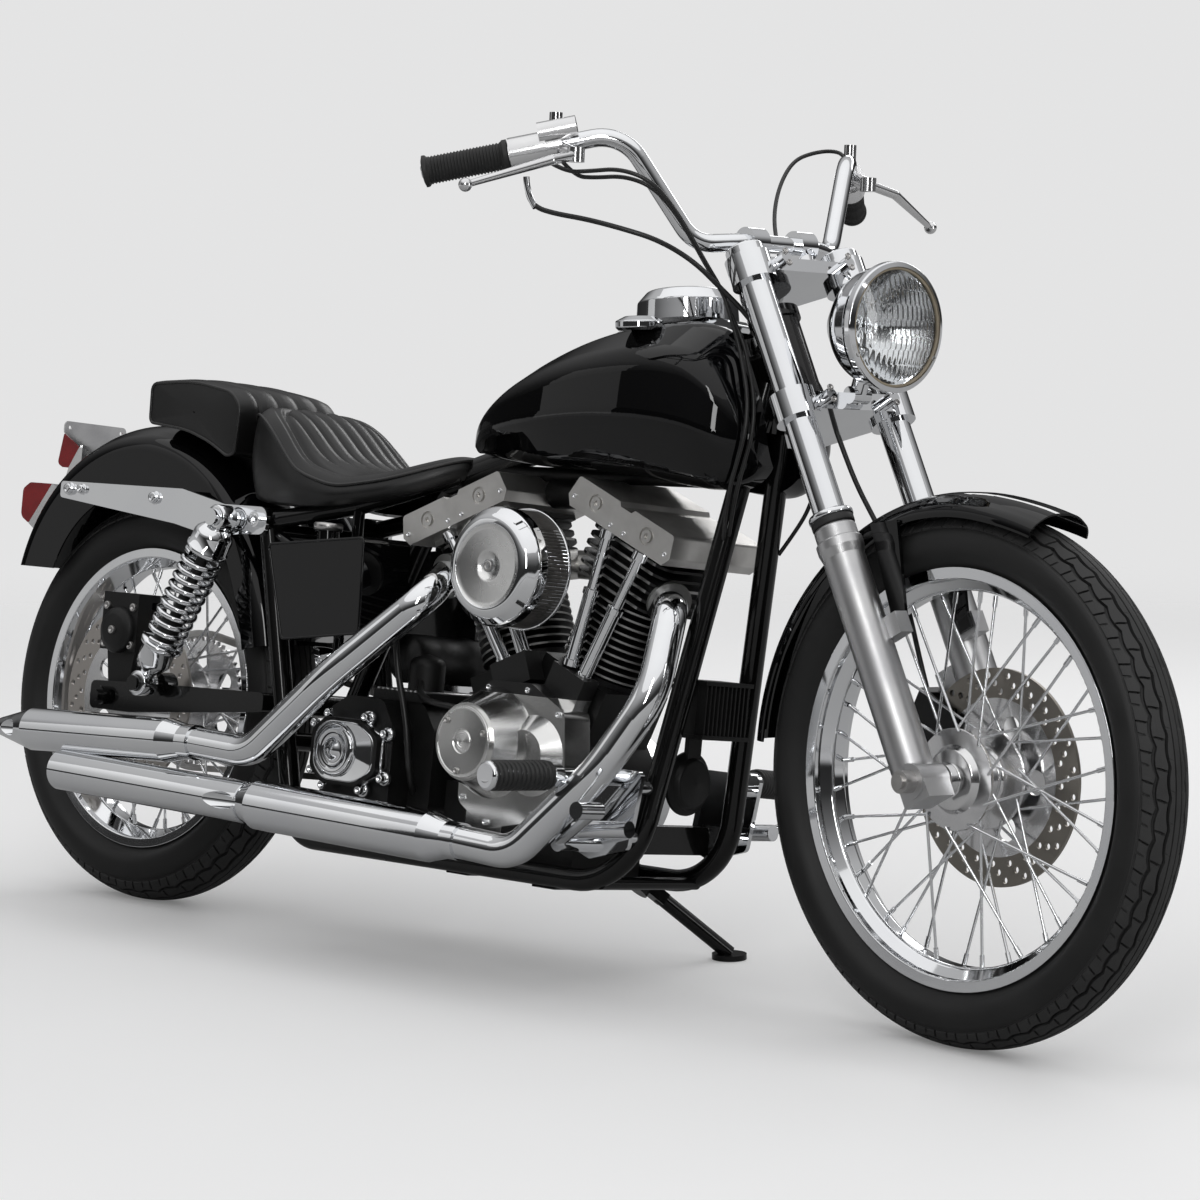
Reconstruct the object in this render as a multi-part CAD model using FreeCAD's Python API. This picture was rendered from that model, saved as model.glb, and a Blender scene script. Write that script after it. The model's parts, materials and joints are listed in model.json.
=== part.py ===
import FreeCAD, Part
import os
from math import sin, cos, tan, radians, degrees, pi, sqrt, atan2, asin, hypot

# A long custom motorcycle with a V-twin engine, parked on its side stand.
# It is drawn upright, in millimetres: x forward from under the rear axle, y to the
# rider's left, z up. The fork is then turned, and the whole leans until both tyres
# and the foot of the side stand touch the ground.

V = FreeCAD.Vector
X, Y, Z = V(1, 0, 0), V(0, 1, 0), V(0, 0, 1)
SIDES = (1, -1)

# Stance
WHEELBASE = 1610.0
REAR_AXLE_Z, FRONT_AXLE_Z = 325.0, 357.0
RAKE = 28.3
STEER_OFFSET = 81.2
STEER = -8.75
LEAN = 8.0

# Clearances
RUN_GAP = 0.3
SEAT_GAP = 0.3
SKIN = 3.0

# Wheels: tyre radius, tyre half width, bead radius, flange radius, rim half width
REAR_TYRE_R, REAR_TYRE_HALF = 325.0, 61.0
REAR_BEAD_R, REAR_FLANGE_R, REAR_RIM_HALF = 228.6, 241.0, 44.0
FRONT_TYRE_R, FRONT_TYRE_HALF = 357.0, 50.0
FRONT_BEAD_R, FRONT_FLANGE_R, FRONT_RIM_HALF = 266.7, 280.0, 34.0
TYRE_WALL = 9.0
RIM_WALL = 3.0
RIM_WELL = 15.0
RIM_LIP = 5.0
SPOKES = 40
SPOKE_R = 2.0
NIPPLE_R, NIPPLE_LEN = 3.2, 15.0
NIPPLE_SEAT = 1.2
LACE_ANGLE = 34.0
HUB_FLANGE_R, HUB_FLANGE_T = 68.0, 5.0
HUB_BARREL_R = 34.0
SPOKE_CIRCLE_R = 64.5
FRONT_FLANGE_Y, REAR_FLANGE_Y = 30.0, 38.0
FRONT_HUB_HALF, REAR_HUB_HALF = 58.0, 88.0
AXLE_R = 9.5
DISC_R, DISC_T = 146.0, 5.0
DISC_HOLE_R = 4.5
FRONT_DISC_Y, REAR_DISC_Y = 51.5, -76.0
SPROCKET_R, SPROCKET_Y, SPROCKET_T, SPROCKET_TEETH = 104.0, 76.0, 6.0, 48

# Fork
FORK_HALF = 90.0
TUBE_BACK = 11.0
FORK_TUBE_R = 22.0
SLIDER_R = 29.0
SLIDER_BOTTOM, SLIDER_TOP = -34.0, 372.0
LOW_CLAMP, TOP_CLAMP = 552.0, 762.0
CLAMP_T = 40.0
TUBE_TOP = 790.0
STEM_R = 14.0
HEAD_R = 33.0
AXLE_LUG_R = 24.0
HEAD_LOW, HEAD_HIGH = LOW_CLAMP + CLAMP_T / 2 + 6.0, TOP_CLAMP - CLAMP_T / 2 - 6.0
CALIPER_R, CALIPER_ANGLE = 122.0, 126.2

# Frame
RAIL_R = 16.0
BACKBONE_R = 21.0
CRADLE_Z, CRADLE_Y = 152.0, 104.0
TYRE_TO_PIVOT = 67.0
PIVOT_X, PIVOT_Z, PIVOT_R = REAR_TYRE_R + TYRE_TO_PIVOT, 345.0, 17.0
POST_FROM_PIVOT = 13.0
EAR_X, EAR_Y, EAR_Z = 326.0, 112.0, 622.0
RAIL_BEND = 115.0
STRUT_Y, STRUT_T = EAR_Y + RAIL_R + 1.0, 8.0
POST_FOOT_Z, CASE_FLOOR = 290.0, 141.0

# Swingarm and shocks
ARM_Y, ARM_T = 116.0, 24.0
SHOCK_Y = 160.0
SHOCK_TOP_X, SHOCK_TOP_Z = 272.0, 620.0
SHOCK_LOW_X, SHOCK_LOW_Z = 126.0, 353.0
SHOCK_EYE_R, SHOCK_EYE_HALF = 20.0, 15.0
COIL_R, COIL_WIRE_R, COIL_TURNS = 29.0, 5.0, 8

# Rear caliper
CALIPER_GAP, CALIPER_OUT, CALIPER_IN = 7.5, -112.0, -52.0

# Engine
CRANK_X, CRANK_Z = 871.5, 265.0
BANK_ANGLE = 22.5
CASE_HALF = 74.0
BARREL_FOOT, BARREL_TOP, HEAD_TOP, ROCKER_TOP = 190.0, 318.0, 406.0, 452.0
BARREL_R, BARREL_FIN_R = 50.0, 72.0
BARREL_FINS, FIN_T = 10, 3.0
HEAD_FINS = 6
HEAD_HALF_X, HEAD_HALF_Y = 84.0, 72.0
ROCKER_HALF_X, ROCKER_Y = 108.0, 105.0
# exhaust port of each bank: inner point and mouth, in the bank's own frame
PORTS = {1: ((40, -24, 352), (HEAD_HALF_X + 9, -47, 347)), -1: ((-50, -36, 350), (-58, -84, 345))}
# pushrod tubes: bank, foot and top as x and height along the bank
PUSHRODS = [
    (1, (3, 200), (-28, HEAD_TOP)), (1, (33, 192), (45, HEAD_TOP)),
    (-1, (26, 178), (-32, HEAD_TOP)), (-1, (64, 174), (38, HEAD_TOP))]
PUSHROD_Y = -88.0
CAM_Y, CAM_COVER_Y = -128.0, -184.0
POINTS_X, POINTS_Z, POINTS_R = 850.0, 329.0, 52.0
PRIMARY_Y = 146.0
PRIMARY_CRANK_R, PRIMARY_CLUTCH_R, CLUTCH_X, CLUTCH_Z = 94.0, 116.0, 562.0, 296.0
GEARBOX_OUTER_Y, GEARBOX_STEP_Y, GEARBOX_END_Y = -84.0, -126.0, -150.0

# Air cleaner
CLEANER_X, CLEANER_Z, CLEANER_R = 872.0, 581.0, 86.0
CLEANER_FACE_Y, CLEANER_DEPTH = -198.0, 84.0

# Exhaust
PIPE_R = 24.0
UPPER_MUFFLER_R, LOWER_MUFFLER_R, TAIL_R = 34.0, 37.0, 32.0

# Regulator and chain
REGULATOR_GAP, REGULATOR_Z = 55.0, 366.0
CHAIN_T, CHAIN_W, CHAIN_GAP = 10.0, 8.0, 0.8
FRONT_SPROCKET_X, FRONT_SPROCKET_Z, FRONT_SPROCKET_R = 600.0, 292.0, 42.0

# Tank
TANK_SPLIT = 5.0
TANK_TUNNEL = 32.0
NECK_ROOM = 64.0
DASH_X, DASH_Z = 1036.0, 938.0

# Fenders
FENDER_X, FENDER_TOP, FENDER_TUCK = -14.0, 765.0, 10.0
REAR_FENDER_R = REAR_TYRE_R - FENDER_TUCK
FENDER_Z = FENDER_TOP - REAR_FENDER_R
REAR_FENDER_HALF, REAR_FENDER_DROP = 86.0, 112.0
FENDER_TURN, FENDER_END, FENDER_TAIL_Z, FENDER_CROWN = 35.0, 170.0, 518.0, 28.0
FENDER_FRONT_R, FENDER_FRONT_END = REAR_FENDER_R + 245.0, 13.0
LAMP_ANGLE, PLATE_ANGLE = 148.0, 133.3
TAIL_LENS_HALF, MARKER_HALF = 46.0, 26.0
PLATE_HALF, PLATE_T = 66.0, 3.0
PLATE_HOLE_Y, PLATE_HOLE_UP, PLATE_HOLE_R = 55.0, 72.0, 3.2
REAR_FENDER_FRONT_DROP = 70.0
FENDER_GAP = 22.0
FRONT_FENDER_R, FRONT_FENDER_HALF, FRONT_FENDER_DROP = FRONT_TYRE_R + FENDER_GAP, 56.0, 34.0
FRONT_FENDER_CROWN = 20.0
FRONT_FENDER_END, FRONT_FENDER_FLIP, FRONT_FENDER_TIP = 177.0, 84.0, 74.5
FLIP_R = 260.0
LUG_T = 5.3

# Handlebar
BAR_R = 12.7
GRIP_R, GRIP_LEN = 19.0, 118.0
MIRROR_R, MIRROR_DEPTH, MIRROR_BOSS_R, MIRROR_SEAT_UP = 4.0, 14.0, 9.0, 46.0

# Headlamp
LAMP_R, LAMP_RIM_R = 81.0, 89.0
LAMP_X, LAMP_Z, LAMP_DEPTH = 1431.0, 951.0, 96.0
LAMP_WALL, LAMP_FLOOR, LAMP_FOCUS = 2.5, 68.0, 26.5
LENS_RISE, LENS_DOME_R, LENS_WALL = 15.0, 210.0, 4.0

# Cables and hoses: radius and route, in the unsteered fork frame or the chassis frame
CORD_ARC_SHARE = 0.45
HOSE_R, CABLE_R, LINE_R = 3.6, 3.0, 5.0
FORK_CABLES = {
    "brake_hose": (HOSE_R, [(1023, -318, 1140), (1024, -317, 1116), (1038, -312, 1098), (1066, -301, 1090),
                            (1110, -281, 1083), (1152, -255, 1072), (1188, -217, 1058), (1207, -168, 1032),
                            (1211, -120, 998), (1222, -82, 966), (1239, -60, 930), (1256, -55, 896),
                            (1270, -56, 868), (1278, -56, 848)]),
    "caliper_hose": (HOSE_R, [(1308, 18, 810), (1322, 27, 770), (1337, 38, 730), (1354, 52, 692), (1372, 64, 655),
                              (1392, 69, 617), (1410, 70, 575), (1428, 69, 531), (1447, 67, 487), (1467, 66, 442)]),
    "throttle_cable_fork": (CABLE_R, [(1036, -297, 1165), (1074, -292, 1147), (1115, -282, 1148), (1154, -262, 1152),
                                      (1187, -235, 1138), (1200, -205, 1106), (1206, -175, 1067), (1200, -140, 1032),
                                      (1204, -110, 995), (1211, -104, 970)]),
    "idle_cable_fork": (CABLE_R, [(1049, -282, 1168), (1077, -277, 1142), (1112, -270, 1140), (1150, -250, 1143),
                                  (1181, -225, 1130), (1193, -195, 1099), (1198, -165, 1062), (1191, -130, 1028),
                                  (1195, -100, 991), (1203, -94, 969)]),
    "clutch_cable_fork": (CABLE_R, [(1034, 289, 1201), (1014, 296, 1219), (985, 297, 1225), (964, 281, 1221),
                                    (962, 248, 1209), (976, 213, 1184), (998, 178, 1149), (1027, 147, 1112),
                                    (1068, 117, 1074), (1112, 86, 1038), (1146, 62, 997)]),
}
CHASSIS_CABLES = {
    "throttle_cable": (CABLE_R, [(1208, -89, 914), (1222, -92, 882), (1239, -98, 846), (1248, -105, 802),
                                 (1240, -106, 761), (1228, -102, 727), (1214, -90, 698), (1200, -75, 672),
                                 (1188, -60, 646)]),
    "idle_cable": (CABLE_R, [(1207, -77, 918), (1222, -80, 884), (1240, -86, 848), (1250, -92, 803),
                             (1242, -93, 761), (1230, -89, 725), (1216, -78, 696), (1202, -64, 670),
                             (1190, -52, 646)]),
    "clutch_cable": (CABLE_R, [(1166, 41, 938), (1184, 44, 903), (1204, 47, 865), (1229, 47, 822), (1252, 48, 780),
                               (1255, 52, 738), (1240, 58, 700), (1216, 62, 667), (1192, 60, 634)]),
}
GEARBOX_HOSES = {
    "oil_line": (LINE_R, [(598, -116, 500), (616, -117, 491), (626, -118, 466), (633, -118, 436), (641, -118, 405),
                          (652, -116, 372), (661, -114, 338), (667, -113, 304), (669, -108, 272),
                          (664, -94, 248), (656, -78, 236)]),
    "breather_hose": (LINE_R, [(650, -81, 402), (664, -97, 391), (690, -109, 379), (718, -112, 374),
                               (745, -108, 373), (771, -102, 367), (796, -98, 352)]),
}

rake = radians(RAKE)
AXIS_UP = V(-sin(rake), 0, cos(rake))
AXIS_FORE = V(cos(rake), 0, sin(rake))
FRONT_AXLE = V(WHEELBASE, 0, FRONT_AXLE_Z)
REAR_AXLE = V(0, 0, REAR_AXLE_Z)


# Points and simple solids

def pt(x, y, z):
    return V(x, y, z)


def unit(v):
    return V(v).normalize()


def rod(a, b, r):
    return Part.makeCylinder(r, (b - a).Length, a, b - a)


def taper(a, b, ra, rb):
    if abs(ra - rb) < 1e-6:
        return rod(a, b, ra)
    return Part.makeCone(ra, rb, (b - a).Length, a, b - a)


def ring(a, b, outer, inner):
    return rod(a, b, outer).cut(rod(a, b, inner))


def across(x, z, y0, y1, r):
    return rod(pt(x, min(y0, y1), z), pt(x, max(y0, y1), z), r)


def block(x0, x1, y0, y1, z0, z1):
    return Part.makeBox(x1 - x0, y1 - y0, z1 - z0, pt(x0, y0, z0))


def fuse(shapes):
    shapes = list(shapes)
    whole = shapes[0]
    if len(shapes) > 1:
        whole = whole.multiFuse(shapes[1:])
    return whole.removeSplitter()


def outline(corners, place):
    # closed wire through corners (a, b) or (a, b, corner radius), placed in space
    flat = [V(c[0], c[1], 0) for c in corners]
    radius = [c[2] if len(c) > 2 else 0.0 for c in corners]
    starts, ends, edges = [], [], []
    for i, p in enumerate(flat):
        back, ahead = unit(flat[i - 1] - p), unit(flat[(i + 1) % len(flat)] - p)
        if radius[i] > 0:
            half = back.getAngle(ahead) / 2
            reach = radius[i] / tan(half)
            middle = unit(back + ahead)
            centre = p + middle * (radius[i] / sin(half))
            starts.append(p + back * reach)
            ends.append(p + ahead * reach)
            edges.append((starts[-1], centre - middle * radius[i], ends[-1]))
        else:
            starts.append(p)
            ends.append(p)
            edges.append(None)
    wire = []
    for i, arc in enumerate(edges):
        if arc:
            wire.append(Part.Arc(*[place(q.x, q.y) for q in arc]).toShape())
        following = starts[(i + 1) % len(flat)]
        if (following - ends[i]).Length > 1e-6:
            wire.append(Part.makeLine(place(ends[i].x, ends[i].y),
                                      place(following.x, following.y)))
    return Part.Wire(wire)


def side_plate(corners, y0, y1):
    # outline in the side view (x, z), thick from y0 to y1
    wire = outline(corners, lambda a, b: pt(a, y0, b))
    return Part.Face(wire).extrude(pt(0, y1 - y0, 0))


def turned(corners, origin, axis):
    # outline given as (radius, along), turned round the axis
    face = Part.Face(outline(corners, lambda a, b: pt(a, 0, b)))
    solid = face.revolve(pt(0, 0, 0), Z, 360)
    solid.Placement = FreeCAD.Placement(origin, FreeCAD.Rotation(Z, axis))
    return solid


def bent_wire(points, bends):
    # straight runs joined by tangent arcs
    edges, last = [], points[0]
    for before, p, after, bend in zip(points, points[1:], points[2:], bends):
        u, w = unit(p - before), unit(after - p)
        turn = u.getAngle(w)
        reach = bend * tan(turn / 2)
        centre = p + unit(w - u) * (bend / cos(turn / 2))
        start, end = p - u * reach, p + w * reach
        if (start - last).Length > 1e-4:
            edges.append(Part.makeLine(last, start))
        edges.append(Part.Arc(start, centre - unit(w - u) * bend, end).toShape())
        last = end
    edges.append(Part.makeLine(last, points[-1]))
    return Part.Wire(edges)


def bent_rod(points, bends, r):
    if not isinstance(bends, (list, tuple)):
        bends = [bends] * (len(points) - 2)
    path = bent_wire(points, bends)
    circle = Part.Wire([Part.makeCircle(r, points[0], points[1] - points[0])])
    return path.makePipeShell([circle], True, False)


def cord_bends(points):
    # the largest arc that both runs beside each point allow
    bends = []
    for before, p, after in zip(points, points[1:], points[2:]):
        half = unit(p - before).getAngle(unit(after - p)) / 2
        bends.append(CORD_ARC_SHARE * min((p - before).Length, (after - p).Length) / tan(half))
    return bends


def cords(routes):
    made = []
    for name, (r, route) in routes.items():
        points = [pt(*p) for p in route]
        bends = cord_bends(points)
        tube, length = bent_rod(points, bends, r), bent_wire(points, bends).Length
        print("%s: %.0f mm, least radius %.0f mm, volume over section x length %.4f"
              % (name, length, min(bends), tube.Volume / (pi * r * r * length)))
        made.append(tube)
    return made


def mirrored(shape):
    return shape.mirror(pt(0, 0, 0), Y)


def both_sides(shape):
    return [shape, mirrored(shape)]


# Fork frame: origin at the front axle, x forward square to the steering axis, z along it

def fork_place(shape):
    shape = shape.copy()
    turn = FreeCAD.Placement(FRONT_AXLE, FreeCAD.Rotation(Y, -RAKE))
    shape.Placement = turn.multiply(shape.Placement)
    return shape


def fork_point(x, y, z):
    return FRONT_AXLE + AXIS_FORE * x + V(0, y, 0) + AXIS_UP * z


def steer_placement():
    centre = fork_point(-STEER_OFFSET, 0, 0)
    return FreeCAD.Placement(V(0, 0, 0), FreeCAD.Rotation(AXIS_UP, STEER), centre)


def steered(shape):
    shape = shape.copy()
    shape.Placement = steer_placement().multiply(shape.Placement)
    return shape


# Parked pose: lean to the left, then pitch until both tyres touch the ground

def lowest(centre, axle, tyre_r, crown_r):
    return centre.z - (tyre_r - crown_r) * sqrt(1 - axle.z ** 2) - crown_r


def park_placement():
    lean = FreeCAD.Placement(V(0, 0, 0), FreeCAD.Rotation(X, -LEAN))
    turn = steer_placement()
    wheels = ((REAR_AXLE, Y, REAR_TYRE_R, REAR_TYRE_HALF),
              (turn.multVec(FRONT_AXLE), turn.Rotation.multVec(Y), FRONT_TYRE_R, FRONT_TYRE_HALF))
    pitch, place = 0.0, lean
    for _ in range(6):
        heights, reach = [], []
        for centre, axle, tyre_r, crown_r in wheels:
            at = place.multVec(centre)
            heights.append(lowest(at, place.Rotation.multVec(axle), tyre_r, crown_r))
            reach.append(at.x)
        pitch += degrees((heights[1] - heights[0]) / (reach[1] - reach[0]))
        place = FreeCAD.Placement(V(0, 0, 0), FreeCAD.Rotation(Y, pitch)).multiply(lean)
    at = place.multVec(REAR_AXLE)
    drop = lowest(at, place.Rotation.multVec(Y), REAR_TYRE_R, REAR_TYRE_HALF)
    return FreeCAD.Placement(V(0, 0, -drop), FreeCAD.Rotation()).multiply(place)


PARK = park_placement()
UNPARK = PARK.inverse()


def parked(shape):
    shape = shape.copy()
    shape.Placement = PARK.multiply(shape.Placement)
    return shape


# Wheels, drawn about the origin with the axle along y

def wheel_place(shape, centre):
    shape = shape.copy()
    shape.translate(centre)
    return shape


def turned_y(corners):
    # outline given as (radius, y), turned round the y axis
    face = Part.Face(outline(corners, lambda a, b: pt(a, b, 0)))
    return face.revolve(pt(0, 0, 0), Y, 360)


def tyre(tyre_r, half, bead_r, flange_r, rim_half):
    crown = tyre_r - half
    seat = rim_half - RIM_LIP

    def side(r, y):
        return pt(r, y, 0)

    def arc(a, b, c):
        return Part.Arc(a, b, c).toShape()

    foot = flange_r + 1.5
    belly = 0.5 * (crown + foot)
    belly_half = half - 0.3 * (half - seat)
    lining = half - TYRE_WALL

    def flank(sign, wall):
        # bead, foot of the sidewall, belly and shoulder on one side
        return [side(bead_r, sign * (seat - wall)), side(foot, sign * (seat - wall)),
                side(belly, sign * (belly_half - wall)), side(crown, sign * (half - wall))]

    outer_l, outer_r = flank(1, 0.0), flank(-1, 0.0)
    inner_l, inner_r = flank(1, TYRE_WALL), flank(-1, TYRE_WALL)
    edges = [
        Part.makeLine(outer_l[0], outer_l[1]), arc(*outer_l[1:]),
        arc(outer_l[3], side(tyre_r, 0), outer_r[3]),
        arc(*outer_r[:0:-1]), Part.makeLine(outer_r[1], outer_r[0]),
        Part.makeLine(outer_r[0], inner_r[0]), Part.makeLine(inner_r[0], inner_r[1]), arc(*inner_r[1:]),
        arc(inner_r[3], side(crown + lining, 0), inner_l[3]),
        arc(*inner_l[:0:-1]), Part.makeLine(inner_l[1], inner_l[0]), Part.makeLine(inner_l[0], outer_l[0]),
    ]
    return Part.Face(Part.Wire(edges)).revolve(pt(0, 0, 0), Y, 360)


def rim(bead_r, flange_r, rim_half):
    seat = rim_half - RIM_LIP
    well = bead_r - RIM_WELL
    half = [(flange_r, rim_half, 1.2), (flange_r, rim_half - 2.5, 1.2), (bead_r, seat),
            (bead_r, seat - 9.0), (well, 10.0, 6.0)]
    under = [(well - RIM_WALL, 12.0, 8.0), (bead_r - RIM_WALL, seat - 7.0),
             (bead_r - RIM_WALL, rim_half - 1.0, 2.0)]
    left = half + [(r, -y, *c) for r, y, *c in reversed(half)]
    below = [(r, -y, *c) for r, y, *c in reversed(under)] + under
    return turned_y(left + below)


def spokes(bead_r, flange_y):
    end_r = bead_r - RIM_WELL - RIM_WALL - NIPPLE_SEAT
    beside = HUB_FLANGE_T / 2 + SPOKE_R + 1.1
    made = []
    for k in range(SPOKES):
        side = 1 if k % 2 == 0 else -1
        lead = 1 if k % 4 < 2 else -1
        rim_angle = radians(360.0 * k / SPOKES)
        hub_angle = rim_angle - lead * radians(LACE_ANGLE)
        hub = pt(SPOKE_CIRCLE_R * cos(hub_angle), side * (flange_y + lead * beside),
                 SPOKE_CIRCLE_R * sin(hub_angle))
        end = pt(end_r * cos(rim_angle), side * (6.0 + 3.0 * lead), end_r * sin(rim_angle))
        along = unit(end - hub)
        nipple = end - along * NIPPLE_LEN
        made.append(rod(hub, nipple, SPOKE_R).fuse(rod(nipple, end, NIPPLE_R)))
    return Part.makeCompound(made)


def hub_body(flange_y, hub_half):
    # barrel, two spoke flanges and tapered ends, bored for the axle
    face = flange_y + HUB_FLANGE_T / 2
    half = [(HUB_FLANGE_R, flange_y - HUB_FLANGE_T / 2, 1.0), (HUB_FLANGE_R, face, 1.0),
            (HUB_BARREL_R + 12, face), (HUB_BARREL_R + 6, face + 8, 4.0),
            (22.0, hub_half - 14, 3.0), (22.0, hub_half)]
    left = [(AXLE_R + RUN_GAP, -hub_half)]
    left += [(r, -y, *c) for r, y, *c in reversed(half)]
    left += [(HUB_BARREL_R, -flange_y + 6, 10.0), (HUB_BARREL_R, flange_y - 6, 10.0)]
    left += half + [(AXLE_R + RUN_GAP, hub_half)]
    return turned_y(left)


def brake_disc(y, carrier_y):
    inner = DISC_R - 42.0
    disc = ring(pt(0, y - DISC_T / 2, 0), pt(0, y + DISC_T / 2, 0), DISC_R, inner)
    holes = []
    for k in range(24):
        for step, r in enumerate((inner + 11.0, inner + 22.0, inner + 33.0)):
            a = radians(15.0 * k + 5.0 * step)
            holes.append(across(r * cos(a), r * sin(a), y - DISC_T, y + DISC_T, DISC_HOLE_R))
    disc = disc.cut(Part.makeCompound(holes))
    flat = ring(pt(0, y - 2.5, 0), pt(0, y + 2.5, 0), inner + 1.0, 24.0)
    windows = []
    for k in range(5):
        a = radians(72.0 * k)
        windows.append(across(70.0 * cos(a), 70.0 * sin(a), y - 4, y + 4, 17.0))
    flat = flat.cut(Part.makeCompound(windows))
    boss = ring(pt(0, min(y, carrier_y), 0), pt(0, max(y, carrier_y), 0), 40.0, 24.0)
    return fuse([disc, flat, boss])


def sprocket():
    step = 2 * pi / SPROCKET_TEETH
    points = []
    for k in range(SPROCKET_TEETH):
        for part, r in ((0.0, SPROCKET_R - 7), (0.28, SPROCKET_R - 6), (0.42, SPROCKET_R),
                        (0.58, SPROCKET_R), (0.72, SPROCKET_R - 6)):
            a = step * (k + part)
            points.append(pt(r * cos(a), SPROCKET_Y - SPROCKET_T / 2, r * sin(a)))
    blank = Part.Face(Part.makePolygon(points + points[:1])).extrude(pt(0, SPROCKET_T, 0))
    cuts = [across(0, 0, SPROCKET_Y - 9, SPROCKET_Y + 9, 24.0)]
    for k in range(6):
        a = radians(60.0 * k + 30.0)
        cuts.append(across(68.0 * cos(a), 68.0 * sin(a), SPROCKET_Y - 9, SPROCKET_Y + 9, 15.0))
    carrier = ring(pt(0, REAR_FLANGE_Y, 0), pt(0, SPROCKET_Y, 0), 44.0, 24.0)
    return fuse([blank.cut(Part.makeCompound(cuts)), carrier])


def front_wheel():
    body = hub_body(FRONT_FLANGE_Y, FRONT_HUB_HALF)
    disc = brake_disc(FRONT_DISC_Y, FRONT_FLANGE_Y)
    pieces = {
        "front_tyre": tyre(FRONT_TYRE_R, FRONT_TYRE_HALF, FRONT_BEAD_R, FRONT_FLANGE_R, FRONT_RIM_HALF),
        "front_rim": rim(FRONT_BEAD_R, FRONT_FLANGE_R, FRONT_RIM_HALF),
        "front_spokes": spokes(FRONT_BEAD_R, FRONT_FLANGE_Y),
        "front_hub": fuse([body, disc]),
    }
    return {name: steered(wheel_place(shape, FRONT_AXLE)) for name, shape in pieces.items()}


def rear_wheel():
    body = hub_body(REAR_FLANGE_Y, REAR_HUB_HALF)
    disc = brake_disc(REAR_DISC_Y, -REAR_FLANGE_Y)
    pieces = {
        "rear_tyre": tyre(REAR_TYRE_R, REAR_TYRE_HALF, REAR_BEAD_R, REAR_FLANGE_R, REAR_RIM_HALF),
        "rear_rim": rim(REAR_BEAD_R, REAR_FLANGE_R, REAR_RIM_HALF),
        "rear_spokes": spokes(REAR_BEAD_R, REAR_FLANGE_Y),
        "rear_hub": fuse([body, disc, sprocket()]),
    }
    return {name: wheel_place(shape, REAR_AXLE) for name, shape in pieces.items()}


def arc_swept(corners, centre_x, centre_z, low, high):
    # outline (radius, y) swept about a cross axis, from one elevation angle to another
    wire = outline(corners, lambda a, b: pt(a, b, 0))
    face = Part.Face(wire)
    face.rotate(pt(0, 0, 0), Y, -low)
    solid = face.revolve(pt(0, 0, 0), Y, low - high)
    solid.translate(pt(centre_x, 0, centre_z))
    return solid


def fender_section(outer_r, half, drop, crown, wall):
    # an open channel with a domed top: outer corners, then inner ones
    outer = [(outer_r - drop, -half), (outer_r - crown, -half, crown), (outer_r, -half * 0.45, half),
             (outer_r, half * 0.45, half), (outer_r - crown, half, crown), (outer_r - drop, half)]
    inner = [(outer_r - drop, half - wall), (outer_r - crown, half - wall, crown - wall),
             (outer_r - wall, half * 0.45, half - wall), (outer_r - wall, -half * 0.45, half - wall),
             (outer_r - crown, -half + wall, crown - wall), (outer_r - drop, -half + wall)]
    return outer + inner


# Chassis

def head_point(s, fore=0.0, y=0.0):
    return fork_point(-STEER_OFFSET + fore, y, s)


DOWNTUBE_TOP = pt(1212, 24, 868)
DOWNTUBE_FOOT = pt(1112, CRADLE_Y, CRADLE_Z)
CRADLE_BACK = pt(438, CRADLE_Y + 2, CRADLE_Z - 3)
BACKBONE_FRONT, BACKBONE_REAR = pt(1222, 0, 905), pt(590, 0, 703)


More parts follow.
